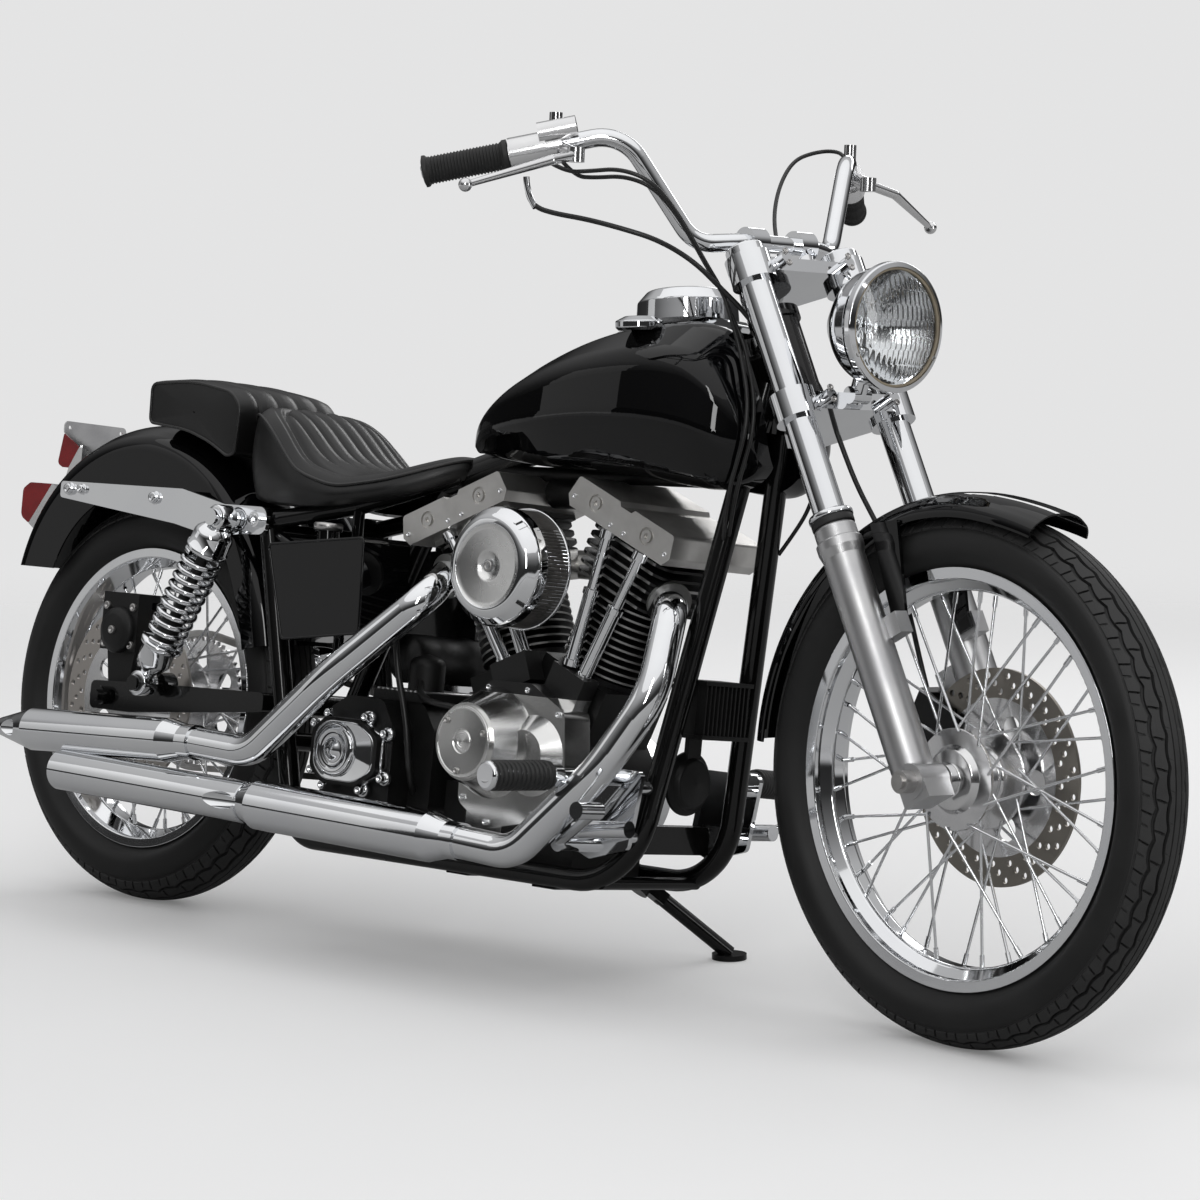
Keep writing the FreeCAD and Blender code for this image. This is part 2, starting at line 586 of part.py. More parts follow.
def frame():
    ear = pt(EAR_X, EAR_Y, EAR_Z)
    loop = bent_rod([DOWNTUBE_TOP, DOWNTUBE_FOOT, CRADLE_BACK, ear], [RAIL_BEND, RAIL_BEND / 2], RAIL_R)
    top_rail = bent_rod([ear + unit(ear - pt(500, 92, 655)) * 4, pt(500, 92, 655), pt(632, 18, 714)],
                        140.0, RAIL_R - 2)
    ear_boss = across(EAR_X, EAR_Z, EAR_Y - RAIL_R, EAR_Y + RAIL_R + 1, 20.0)
    pivot_boss = across(PIVOT_X, PIVOT_Z, PIVOT_R * 5 + 3.3, EAR_Y, PIVOT_R)
    sides = fuse([loop, top_rail, ear_boss, pivot_boss])
    head = rod(head_point(HEAD_LOW), head_point(HEAD_HIGH), HEAD_R)
    cups = [rod(head_point(HEAD_LOW), head_point(HEAD_LOW + 16), HEAD_R + 4),
            rod(head_point(HEAD_HIGH - 16), head_point(HEAD_HIGH), HEAD_R + 4)]
    backbone = rod(BACKBONE_FRONT, BACKBONE_REAR, BACKBONE_R)
    post_x = PIVOT_X + POST_FROM_PIVOT
    post = rod(pt(592, 0, 703), pt(post_x, 0, POST_FOOT_Z), RAIL_R)
    post_cross = across(post_x, POST_FOOT_Z, -CRADLE_Y, CRADLE_Y, 14.0)
    seat_cross = across(EAR_X + 14, EAR_Z - 16, -EAR_Y, EAR_Y, 13.0)
    gusset = side_plate([(1215, 905), (1212, 800), (1110, 858), (1110, 872)], -5, 5)
    neck_plates = [side_plate([(1216, 800), (1236, 870), (1215, 905), (1180, 893), (1186, 800)], y, y + 6)
                   for y in (16, -22)]
    low_cross = [across(x, CRADLE_Z, -CRADLE_Y, CRADLE_Y, 9.0) for x in (560, 1060)]
    shelves = [block(x, x + 44, -CRADLE_Y, CRADLE_Y, CASE_FLOOR - 9, CASE_FLOOR) for x in (760, 930)]
    front_mount = [block(1062, 1090, -88, 88, 196, 236), block(994, 1066, -64, 64, 204, 232)]
    whole = fuse([head, *cups, backbone, post, post_cross, seat_cross, gusset, *neck_plates,
                  *low_cross, *shelves, *front_mount, sides, mirrored(sides)])
    return whole.cut(rod(head_point(HEAD_LOW - 10), head_point(HEAD_HIGH + 10), STEM_R + RUN_GAP))


def swingarm():
    arm = side_plate([(-34, REAR_AXLE_Z - 22, 10), (-34, REAR_AXLE_Z + 22, 10), (60, REAR_AXLE_Z + 26, 30),
                      (PIVOT_X - 26, PIVOT_Z + 15, 8), (PIVOT_X - 26, PIVOT_Z - 15, 8),
                      (60, REAR_AXLE_Z - 22, 30)],
                     ARM_Y - ARM_T / 2, ARM_Y + ARM_T / 2)
    slot = side_plate([(-26, REAR_AXLE_Z - 10, 8), (-26, REAR_AXLE_Z + 10, 8), (26, REAR_AXLE_Z + 10, 8),
                       (26, REAR_AXLE_Z - 10, 8)], ARM_Y - ARM_T, ARM_Y + ARM_T)
    arm = arm.cut(slot.cut(across(0, REAR_AXLE_Z, ARM_Y - ARM_T, ARM_Y + ARM_T, AXLE_R + 6)))
    shock_stud = across(SHOCK_LOW_X, SHOCK_LOW_Z, ARM_Y, SHOCK_Y + SHOCK_EYE_HALF + 9, 8.0)
    stud_lug = across(SHOCK_LOW_X, SHOCK_LOW_Z, ARM_Y - ARM_T / 2, ARM_Y + ARM_T / 2 + 3, 19.0)
    stud_nut = across(SHOCK_LOW_X, SHOCK_LOW_Z, SHOCK_Y + SHOCK_EYE_HALF, SHOCK_Y + SHOCK_EYE_HALF + 9, 12.0)
    side = [arm, shock_stud, stud_lug, stud_nut]
    cross_x = PIVOT_X - 40
    cross = across(cross_x, PIVOT_Z, -ARM_Y, ARM_Y, 13.0)
    pivot = across(PIVOT_X, PIVOT_Z, -PIVOT_R * 5, PIVOT_R * 5, PIVOT_R)
    webs = [block(cross_x, PIVOT_X, y - 9, y + 9, PIVOT_Z - 10, PIVOT_Z + 10) for y in (-66, 66)]
    axle = across(0, REAR_AXLE_Z, -ARM_Y - 34, ARM_Y + 34, AXLE_R)
    spacers = [across(0, REAR_AXLE_Z, s * (REAR_HUB_HALF + SEAT_GAP), s * ARM_Y, 17.0) for s in SIDES]
    nuts = [across(0, REAR_AXLE_Z, s * ARM_Y, s * (ARM_Y + 26), 15.0) for s in SIDES]
    return fuse([cross, pivot, *webs, axle, *spacers, *nuts, *side, *[mirrored(s) for s in side]])


def shock():
    top, low = pt(SHOCK_TOP_X, SHOCK_Y, SHOCK_TOP_Z), pt(SHOCK_LOW_X, SHOCK_Y, SHOCK_LOW_Z)
    length = (top - low).Length
    along = unit(top - low)

    def at(t):
        return low + along * t

    eyes = [across(p.x, p.z, SHOCK_Y - SHOCK_EYE_HALF, SHOCK_Y + SHOCK_EYE_HALF, SHOCK_EYE_R)
            for p in (top, low)]
    coil_low, coil_high = 78.0, length - 62.0
    parts = eyes + [rod(at(14), at(60), 13.0), taper(at(22), at(40), 15, 27),
                    rod(at(40), at(coil_low), 27.0), rod(at(coil_low - 8), at(coil_low), COIL_R + 5),
                    rod(at(coil_low), at(coil_high), 17.0), rod(at(coil_high), at(length - 24), COIL_R + 4),
                    taper(at(length - 24), at(length - 12), COIL_R + 4, 18)]
    pitch = (coil_high - coil_low) / COIL_TURNS
    for k in range(COIL_TURNS):
        centre = at(coil_low + pitch * (k + 0.5))
        parts.append(Part.makeTorus(COIL_R, COIL_WIRE_R, centre, along))
        parts.append(ring(centre - along * 2, centre + along * 2, COIL_R, 16.0))
    whole = fuse(parts)
    bores = [across(p.x, p.z, 0, 300, 8.0) for p in (top, low)]
    return whole.cut(Part.makeCompound(bores))


def fender_strut():
    bar = side_plate([(-142, 660, 6), (-142, 634, 6), (138, 606, 20), (228, 590, 20), (290, 598, 16),
                      (EAR_X + 20, EAR_Z - 22, 16), (EAR_X + 20, EAR_Z + 20, 16), (250, 642, 20),
                      (150, 661, 20)], STRUT_Y, STRUT_Y + STRUT_T)
    bolts = [(-118, 648), (88, 644)]
    parts = [bar]
    for x, z in bolts:
        parts.append(across(x, z, REAR_FENDER_HALF, STRUT_Y, 8.0))
        parts.append(across(x, z, STRUT_Y, STRUT_Y + STRUT_T + 7, 9.0))
    end = SHOCK_Y + SHOCK_EYE_HALF
    parts.append(across(SHOCK_TOP_X, SHOCK_TOP_Z, STRUT_Y, end + 10, 8.0))
    parts.append(across(SHOCK_TOP_X, SHOCK_TOP_Z, STRUT_Y, SHOCK_Y - SHOCK_EYE_HALF, 13.0))
    parts.append(across(SHOCK_TOP_X, SHOCK_TOP_Z, end, end + 10, 13.0))
    parts.append(across(EAR_X, EAR_Z, STRUT_Y, STRUT_Y + STRUT_T + 8, 12.0))
    return fuse(parts)


def rear_fender():
    section = fender_section(REAR_FENDER_R, REAR_FENDER_HALF, REAR_FENDER_DROP, FENDER_CROWN, SKIN)
    upper = arc_swept(section, FENDER_X, FENDER_Z, FENDER_TURN, FENDER_END)
    below = block(FENDER_X - 2 * REAR_FENDER_R, FENDER_X - REAR_FENDER_HALF, -REAR_FENDER_HALF * 2,
                  REAR_FENDER_HALF * 2, 0, FENDER_TAIL_Z)
    upper = upper.cut(below)
    a = radians(FENDER_TURN)
    shift = FENDER_FRONT_R - REAR_FENDER_R
    section = fender_section(FENDER_FRONT_R, REAR_FENDER_HALF, REAR_FENDER_FRONT_DROP, FENDER_CROWN, SKIN)
    lower = arc_swept(section, FENDER_X - shift * cos(a), FENDER_Z - shift * sin(a), FENDER_FRONT_END,
                      FENDER_TURN)
    return fuse([upper, lower])


# Tail, drawn about points on the fender's outer arc

def on_fender(angle):
    a = radians(angle)
    return pt(FENDER_X + REAR_FENDER_R * cos(a), 0, FENDER_Z + REAR_FENDER_R * sin(a))


def moved(corners, at):
    # side outline given about a point
    return [(c[0] + at.x, c[1] + at.z, *c[2:]) for c in corners]


def fender_core():
    # solid inside the fender's outer skin, to seat what stands on it
    outer_r = REAR_FENDER_R + SEAT_GAP
    outer = fender_section(outer_r, REAR_FENDER_HALF, REAR_FENDER_DROP, FENDER_CROWN, SKIN)[:6]
    return arc_swept([(40, -REAR_FENDER_HALF), *outer[1:5], (40, REAR_FENDER_HALF)], FENDER_X, FENDER_Z,
                     FENDER_TURN, FENDER_END)


def tail_lamp():
    # red lens low on the tail, and the marker lens behind the plate bracket
    lens = side_plate(moved([(7, 40), (-49, 40, 14), (-66, 29, 10), (-66, -17, 14), (-45, -28, 4)],
                            on_fender(LAMP_ANGLE)), -TAIL_LENS_HALF, TAIL_LENS_HALF)
    marker = side_plate(moved([(-PLATE_T, 62), (-49, 64, 5), (-59, 13, 8), (-46, 7, 6), (-28, 7),
                               (-PLATE_T, 45)],
                              on_fender(PLATE_ANGLE)), -MARKER_HALF, MARKER_HALF)
    return Part.makeCompound([lens, marker])


def tail_bracket():
    # chrome foot of the tail lamp, and the number plate's bracket with its foot on the fender
    core = fender_core()
    foot, seat_at = on_fender(LAMP_ANGLE), on_fender(PLATE_ANGLE)
    lamp_foot = side_plate(moved([(7, 40), (-45, -28), (-19, -43), (51, 23)], foot),
                           -TAIL_LENS_HALF, TAIL_LENS_HALF)
    top, low = PLATE_HOLE_UP + 10, PLATE_HOLE_UP - 9
    sheet = outline([(-30, 41), (30, 41), (PLATE_HALF, low, 6), (PLATE_HALF, top, 8), (-PLATE_HALF, top, 8),
                     (-PLATE_HALF, low, 6)], lambda a, b: seat_at + pt(0, a, b))
    plate = Part.Face(sheet).extrude(pt(-PLATE_T, 0, 0))
    wedge = side_plate(moved([(PLATE_T, 45), (-PLATE_T, 45), (-28, 7), (-55, -79), (PLATE_T, -19)], seat_at),
                       -MARKER_HALF - 2, MARKER_HALF + 2)
    holes = [rod(seat_at + pt(-9, y, PLATE_HOLE_UP), seat_at + pt(9, y, PLATE_HOLE_UP), PLATE_HOLE_R)
             for y in (-PLATE_HOLE_Y, PLATE_HOLE_Y)]
    bracket = fuse([plate, wedge.cut(core)])
    for hole in holes:
        bracket = bracket.cut(hole)
    return Part.makeCompound([lamp_foot.cut(core), bracket])


# Seats

def cushion(stations):
    # soft block through cross sections (x, half width, low z, high z, corner radius)
    wires = []
    for x, half, low, high, corner in stations:
        corners = [(-half, low, corner * 0.5), (half, low, corner * 0.5), (half, high, corner),
                   (-half, high, corner)]
        wires.append(outline(corners, lambda a, b, x=x: pt(x, a, b)))
    return Part.makeLoft(wires, True, False)


def seat():
    return cushion([(262, 108, 668, 742, 26), (286, 122, 656, 790, 34), (330, 132, 648, 762, 30),
                    (400, 136, 646, 716, 26), (480, 132, 650, 704, 24), (560, 116, 664, 718, 24),
                    (620, 80, 690, 750, 22), (652, 44, 712, 772, 18)])


def pillion():
    return cushion([(22, 106, 763, 822, 14), (34, 110, 760, 832, 16), (140, 112, 742, 824, 18),
                    (212, 112, 730, 812, 18), (236, 100, 730, 806, 20)])


# Fuel tank, two halves over the backbone

TANK_STATIONS = [
    (676, 38, 746, 778, 4), (700, 62, 746, 804, 16), (740, 90, 740, 834, 26), (800, 116, 734, 870, 36),
    (870, 136, 730, 900, 44), (950, 148, 728, 926, 48), (1040, 154, 724, 944, 50),
    (1130, 152, 716, 948, 50), (1180, 144, 712, 930, 50), (1211, 128, 718, 890, 46), (1232, 105, 732, 850, 38),
    (1243, 80, 750, 818, 22)]


def tank_half():
    wires = []
    for x, half, low, high, corner in TANK_STATIONS:
        corners = [(TANK_SPLIT, low + 6, 3), (half * 0.72, low, corner),
                   (half, low + (high - low) * 0.36, corner),
                   (half * 0.98, high - (high - low) * 0.24, corner), (half * 0.5, high, corner * 0.9),
                   (TANK_SPLIT, high - 4, 3)]
        wires.append(outline(corners, lambda a, b, x=x: pt(x, a, b)))
    solid = Part.makeLoft(wires, True, False)
    tunnel = side_plate([(640, 640), (640, 764), (1300, 764 + (1300 - 640) * 0.27), (1300, 640)],
                        -TANK_TUNNEL, TANK_TUNNEL)
    neck = rod(head_point(HEAD_LOW - 200), head_point(HEAD_HIGH + 100), NECK_ROOM)
    return solid.cut(tunnel).cut(neck)


def box_tabs(side):
    # the two mounts that carry a side box from the frame's rails
    return [rod(pt(500, side * 92, 592), pt(500, side * 92, 655), 9.0),
            rod(pt(408, side * 110, 575), pt(336, side * 110, 606), 8.0)]


def oil_tank():
    body = side_plate([(392, 588, 8), (598, 609, 8), (604, 464, 8), (438, 444, 8)], -172, -76)
    neck = rod(pt(486, -138, 590), pt(484, -138, 616), 17.0)
    cap = rod(pt(484, -138, 612), pt(483, -138, 624), 21.0)
    outlet = rod(pt(520, -130, 456), pt(520, -130, 430), 8.0)
    return fuse([body, neck, cap, outlet, *box_tabs(-1)])


def battery_box():
    body = side_plate([(392, 588, 8), (598, 609, 8), (604, 464, 8), (438, 444, 8)], 76, 166)
    rim_plate = side_plate([(404, 578, 8), (588, 597, 8), (593, 476, 8), (446, 458, 8)], 166, 169)
    return fuse([body, rim_plate, *box_tabs(1)])


# Engine: each bank is drawn with its bore along z, heights counted from the crank

def banked(shape, side):
    # side 1 leans forward, side -1 leans back
    place = FreeCAD.Placement(pt(CRANK_X, 0, CRANK_Z), FreeCAD.Rotation(Y, side * BANK_ANGLE))
    shape = shape.copy()
    shape.Placement = place.multiply(shape.Placement)
    return shape


def bank_point(side, x, y, z):
    a = radians(BANK_ANGLE * side)
    return pt(CRANK_X + x * cos(a) + z * sin(a), y, CRANK_Z - x * sin(a) + z * cos(a))


def crankcase():
    body = across(CRANK_X, CRANK_Z, -CASE_HALF, CASE_HALF, 124.0)
    body = body.cut(block(600, 1200, -200, 200, 0, CASE_FLOOR))
    decks = [banked(block(-66, 66, -CASE_HALF + 6, CASE_HALF - 6, 60, BARREL_FOOT), s) for s in SIDES]
    sump = side_plate([(770, CASE_FLOOR), (770, 240), (975, 240), (975, CASE_FLOOR)], -CASE_HALF, CASE_HALF)
    front_lug = block(960, 994, -64, 64, 204, 232)
    rear_lug = block(700, 780, -58, 58, 200, 262)
    breather = rod(pt(CRANK_X, -30, 380), pt(CRANK_X, -30, 404), 20.0)
    return fuse([body, *decks, sump, front_lug, rear_lug, breather])


def barrel():
    # finned barrel with a foot flange; the fins are one comb turned round the bore
    comb = [(20.0, BARREL_FOOT), (66.0, BARREL_FOOT), (66.0, BARREL_FOOT + 9), (BARREL_R, BARREL_FOOT + 9)]
    pitch = (BARREL_TOP - BARREL_FOOT - 14) / BARREL_FINS
    for k in range(BARREL_FINS):
        z = BARREL_FOOT + 14 + pitch * k
        comb += [(BARREL_R, z), (BARREL_FIN_R, z), (BARREL_FIN_R, z + FIN_T), (BARREL_R, z + FIN_T)]
    comb += [(BARREL_R, BARREL_TOP), (20.0, BARREL_TOP)]
    return turned(comb, pt(0, 0, 0), Z)


def head():
    core = rod(pt(0, 0, BARREL_TOP), pt(0, 0, HEAD_TOP), BARREL_R + 8)
    parts = [core]
    pitch = (HEAD_TOP - BARREL_TOP - 6) / HEAD_FINS
    for k in range(HEAD_FINS):
        z = BARREL_TOP + 3 + pitch * k
        half = HEAD_HALF_X - 1.5 * abs(k - 3)
        corners = [(-half, -HEAD_HALF_Y, 24), (half, -HEAD_HALF_Y, 24), (half, HEAD_HALF_Y, 24),
                   (-half, HEAD_HALF_Y, 24)]
        wire = outline(corners, lambda a, b, z=z: pt(a, b, z))
        parts.append(Part.Face(wire).extrude(pt(0, 0, FIN_T + 1)))
    parts.append(block(-78, 78, -HEAD_HALF_Y, HEAD_HALF_Y, HEAD_TOP - 8, HEAD_TOP))
    return fuse(parts)


def cylinder(side):
    inner, mouth = PORTS[side]
    along = unit(pt(*mouth) - pt(*inner))
    port = rod(pt(*inner), pt(*mouth), 28.0)
    flange = rod(pt(*mouth) - along * 6, pt(*mouth), 33.0)
    whole = fuse([barrel(), head(), port, flange])
    return banked(whole, side)


def rocker_box(side):
    top, low = ROCKER_TOP, HEAD_TOP
    corners = [(-ROCKER_HALF_X + 10, low), (-ROCKER_HALF_X, low + 14, 4), (-ROCKER_HALF_X + 8, top, 6),
               (-14, top), (-9, top - 6), (13, top - 6), (18, top), (ROCKER_HALF_X - 8, top, 6),
               (ROCKER_HALF_X, low + 14, 4), (ROCKER_HALF_X - 10, low)]
    box = side_plate(corners, -ROCKER_Y, ROCKER_Y - 14)
    for x in (-54, 54):
        box = box.cut(across(x, low + 24, -ROCKER_Y - 1, -ROCKER_Y + 4, 13.0))
        box = box.fuse(ring(pt(x, -ROCKER_Y + 4, low + 24), pt(x, -ROCKER_Y - 1, low + 24), 9.0, 4.0))
    return banked(box.removeSplitter(), side)


def pushrod_tubes():
    made = []
    for side, (x0, z0), (x1, z1) in PUSHRODS:
        low, high = bank_point(side, x0, PUSHROD_Y, z0), bank_point(side, x1, PUSHROD_Y, z1)
        along = unit(high - low)
        length = (high - low).Length

        def at(t, low=low, along=along):
            return low + along * t

        tube = fuse([rod(at(2.5), at(length - 3.5), 8.0), rod(at(2.5), at(length * 0.52), 10.5),
                     rod(at(length * 0.52), at(length * 0.56), 12.5), rod(at(2.5), at(12), 13.0),
                     rod(at(length - 16), at(length - 3.5), 12.0)])
        made.append(tube)
    return Part.makeCompound(made)


def cam_cover():
    plate = side_plate([(790, 372, 20), (835, 418, 16), (915, 420, 16), (984, 384, 20), (994, 300, 30),
                        (950, 226, 24), (850, 205, 24), (792, 240, 20)], CAM_Y, -CASE_HALF)
    nose = taper(pt(POINTS_X, CAM_Y, POINTS_Z), pt(POINTS_X, CAM_COVER_Y, POINTS_Z), 80.0, POINTS_R + 4)
    cover = across(POINTS_X, POINTS_Z, CAM_COVER_Y, CAM_COVER_Y - 5, POINTS_R)
    ribs = turned([(0.1, 0), (POINTS_R - 5, 0), (POINTS_R - 6, 2), (18, 2.5), (16, 0.8), (0.1, 0.8)],
                  pt(POINTS_X, CAM_COVER_Y - 5, POINTS_Z), pt(0, -1, 0))
    shoulder = taper(pt(930, CAM_Y, 318), pt(930, -150, 318), 58.0, 36.0)
    blocks = [banked(block(-14, 52, -106, -CASE_HALF, 150, 200), 1),
              banked(block(10, 80, -106, -CASE_HALF, 140, 184), -1)]
    pump = block(800, 872, -116, -CASE_HALF, 172, 226)
    return fuse([plate, nose, cover, ribs, shoulder, *blocks, pump])


def primary_cover():
    crank, clutch = (CRANK_X, CRANK_Z + 4, PRIMARY_CRANK_R), (CLUTCH_X, CLUTCH_Z, PRIMARY_CLUTCH_R)
    y0, y1 = CASE_HALF, PRIMARY_Y

    def oval(shrink, y_low, y_high):
        ends = [across(x, z, y_low, y_high, r - shrink) for x, z, r in (crank, clutch)]
        run = pt(crank[0] - clutch[0], 0, crank[1] - clutch[1])
        tilt = asin((clutch[2] - crank[2]) / run.Length)
        up = atan2(run.z, run.x) + pi / 2 - tilt
        down = atan2(run.z, run.x) - pi / 2 + tilt
        corners = [(x + (r - shrink) * cos(a), z + (r - shrink) * sin(a))
                   for a, pair in ((up, (clutch, crank)), (down, (crank, clutch))) for x, z, r in pair]
        return fuse(ends + [side_plate(corners, y_low, y_high)])

    derby = turned([(0.1, 0), (70, 0), (70, 7, 4), (0.1, 12)], pt(clutch[0], y1 + 6, clutch[1]), Y)
    inspection = side_plate([(735, 250, 20), (735, 300, 20), (800, 300, 20), (800, 250, 20)], y1, y1 + 10)
    return fuse([oval(0, y0, y1 - 8), oval(7, y1 - 8, y1 + 6), derby, inspection])


def gearbox():
    case = side_plate([(504, 205, 20), (504, 346, 30), (548, 372, 12), (664, 372, 20), (692, 330, 20),
                       (692, 205, 20)], GEARBOX_OUTER_Y, CASE_HALF)
    near_case = side_plate([(504, 205, 20), (504, 346, 30), (548, 372, 12), (622, 372, 20), (648, 330, 16),
                            (648, 205, 20)], GEARBOX_STEP_Y, GEARBOX_OUTER_Y)
    lid = block(566, 676, -92, 40, 372, 386)
    can = turned([(0.1, 0), (27, 0), (27, 50, 14), (0.1, 58)], pt(640, -58, 386), Z)
    end_cover = side_plate([(502, 262, 14), (502, 318, 14), (528, 338, 14), (600, 338, 16), (640, 316, 16),
                            (640, 262, 16), (600, 240, 16), (528, 240, 14)], GEARBOX_END_Y, GEARBOX_STEP_Y)
    boss = turned([(0.1, 0), (40, 0), (38, 6, 2), (26, 6), (24, 4), (12, 4), (10, 7), (0.1, 7)],
                  pt(554, GEARBOX_END_Y, 290), pt(0, -1, 0))
    foot = block(530, 670, -CRADLE_Y + 20, 60, 161.5, 206)
    return fuse([case, near_case, lid, can, end_cover, boss, foot])


def air_cleaner():
    # back plate, pleated element and dished cover, turned as one
    profile = [(24, 0), (88, 0, 2), (88, 6, 2), (82, 6), (82, 46), (CLEANER_R, 46, 3), (CLEANER_R, 66, 12),
               (70, 84, 18), (60, 84, 2), (59, 81), (20, 79.5), (18, 74), (0.1, 74), (0.1, 10), (24, 10)]
    body = turned(profile, pt(CLEANER_X, CLEANER_FACE_Y + CLEANER_DEPTH, CLEANER_Z), pt(0, -1, 0))
    bolt = rod(pt(CLEANER_X, CLEANER_FACE_Y + 11, CLEANER_Z), pt(CLEANER_X, CLEANER_FACE_Y + 3, CLEANER_Z), 9.0)
    return fuse([body, bolt])


def carburettor():
    mouth_y = CLEANER_FACE_Y + CLEANER_DEPTH
    body = fuse([rod(pt(CLEANER_X, mouth_y, CLEANER_Z), pt(CLEANER_X, -52, 590), 23.5),
                 block(CLEANER_X - 30, CLEANER_X + 30, -98, -58, 548, 590),
                 rod(pt(CLEANER_X, -78, 550), pt(CLEANER_X, -78, 526), 20.0),
                 rod(pt(CLEANER_X, -52, 590), pt(CLEANER_X, -8, 596), 22.0),
                 rod(pt(CLEANER_X - 70, -8, 596), pt(CLEANER_X + 70, -8, 596), 21.0)])
    return body


# Exhaust routes, from each port to its muffler
FRONT_PIPE = [bank_point(1, *PORTS[1][1]), pt(1150, -112, 542), pt(1176, -165, 425), pt(1114, -192, 312),
              pt(985, -208, 184), pt(880, -209, 189)]
REAR_PIPE = [bank_point(-1, *PORTS[-1][1]), pt(722, -158, 530), pt(580, -200, 401), pt(432, -205, 272),
             pt(306, -205, 276)]


def tip_slot(centre, along, r):
    # long almond opening where a slanted bore leaves the wall
    toward = unit(along + pt(0, -0.42, 0))
    start = centre - along * 50 + pt(0, -r * 0.12, 0)
    return rod(start, start + toward * 110, 13.0)


def muffler(front, rear, r, neck, tip):
    along = unit(rear - front)
    length = (rear - front).Length

    def at(t):
        return front + along * t

    body = fuse([rod(at(0), at(neck * 0.4), PIPE_R + 3), taper(at(neck * 0.4), at(neck), PIPE_R + 3, r),
                 rod(at(neck), at(length - tip), r), taper(at(length - tip), at(length), r, r * 0.42)])
    return body.cut(tip_slot(at(length - tip * 0.45), along, r))


def exhaust_rear():
    pipe = bent_rod(REAR_PIPE, [40, 400, 75], PIPE_R)
    silencer = muffler(REAR_PIPE[-1] + pt(6, 0, 0), pt(-150, -205, 259), UPPER_MUFFLER_R, 62.0, 82.0)
    return fuse([pipe, silencer])


def exhaust_front():
    pipe = bent_rod(FRONT_PIPE, [50, 110, 200, 70], PIPE_R)
    front, rear = FRONT_PIPE[-1] + pt(6, 0, 0), pt(395, -214, 199)
    silencer = muffler(front, rear, LOWER_MUFFLER_R, 60.0, 76.0)
    along = unit(rear - front)
    tail_start, tail_end = rear - along * 50, pt(20, -217, 206)
    tail = rod(tail_start, tail_end, TAIL_R)
    tail = tail.cut(rod(tail_end - along * 60, tail_end + along * 10, TAIL_R - 3))
    whole = fuse([pipe, silencer.cut(rod(tail_start, rear + along * 20, TAIL_R)),
                  tail.cut(tip_slot(rear - along * 34, along, TAIL_R))])
    return whole


def tank_console():
    # strip over the joint between the halves, round instrument housing, two fuel caps
    strip = side_plate([(880, 908), (950, 932), (1120, 946), (1142, 940), (1142, 950, 4), (1120, 958, 10),
                        (950, 944, 10), (880, 914, 2)], -26, 26)
    tilt = unit(pt(-0.13, 0, 1))
    dome = turned([(0.1, 0), (74, 0), (72, 30, 6), (58, 46, 10), (52, 47), (50, 44), (0.1, 43)],
                  pt(DASH_X, 0, DASH_Z + 12), tilt)
    caps = []
    for s in SIDES:
        cap = turned([(0.1, 0), (30, 0), (34, 4, 2), (34, 13, 3), (20, 20, 8), (0.1, 21)],
                     pt(1036, s * 103, 930), unit(pt(-0.05, s * 0.1, 1)))
        caps.append(cap)
    return [fuse([strip, dome])] + caps


def regulator():
    # finned box on the cross bar between the downtubes
    x1 = WHEELBASE - FRONT_FENDER_R - REGULATOR_GAP
    x0, z0, z1 = x1 - 60, REGULATOR_Z, REGULATOR_Z + 82
    body = block(x0, x1 - 16, -50, 50, z0 + 6, z1 - 6)
    plates = [block(x0 - 4, x1, -52, 52, z, z + 6) for z in (z0, z1 - 6)]
    fins = [block(x1 - 16, x1 - 2, y, y + 3, z0 + 6, z1 - 6) for y in range(-48, 50, 9)]
    rise = (z1 - 15 - DOWNTUBE_FOOT.z) / (DOWNTUBE_TOP.z - DOWNTUBE_FOOT.z)
    tube_x = DOWNTUBE_FOOT.x + rise * (DOWNTUBE_TOP.x - DOWNTUBE_FOOT.x)
    lugs = block(min(x0 + 8, tube_x - 27), tube_x - 9, -66, 66, z1 - 22, z1 - 8)
    return fuse([body, *plates, *fins, lugs])


def foot_controls():
    plate = side_plate([(1036, 316, 8), (1144, 316, 10), (1128, 206, 10), (1060, 186, 10), (1020, 200, 10)],
                       -134, -126)
    stands = [across(1128, 292, -CRADLE_Y + 6, -126, 10.0), across(1116, 222, -CRADLE_Y, -126, 10.0)]
    peg_arm = across(1052, 300, -134, -220, 11.0)
    clevis = across(1051, 300, -206, -222, 16.0)
    peg = rod(pt(1052, -222, 300), pt(1036, -336, 295), 17.0)
    rings = []
    for t in range(8, 100, 9):
        inner, outer = pt(1052 - 0.14 * t, -222 - t, 300 - 0.044 * t), pt(1052 - 0.14 * (t + 4), -226 - t, 300)
        rings.append(rod(inner, outer, 19.0))
    pivot = across(1036, 206, -134, -176, 13.0)
    pedal = [rod(pt(1036, -170, 206), pt(1168, -250, 262), 7.0), across(1168, 262, -246, -292, 12.0)]
    actuator = [rod(pt(1052, -158, 226), pt(1150, -158, 236), 12.0)]
    link = [rod(pt(1052, -134, 226), pt(1052, -160, 226), 8.0)]
    side = fuse([plate, *stands, peg_arm, clevis, peg, *rings, pivot, *pedal, *actuator, *link])
    return both_sides(side)


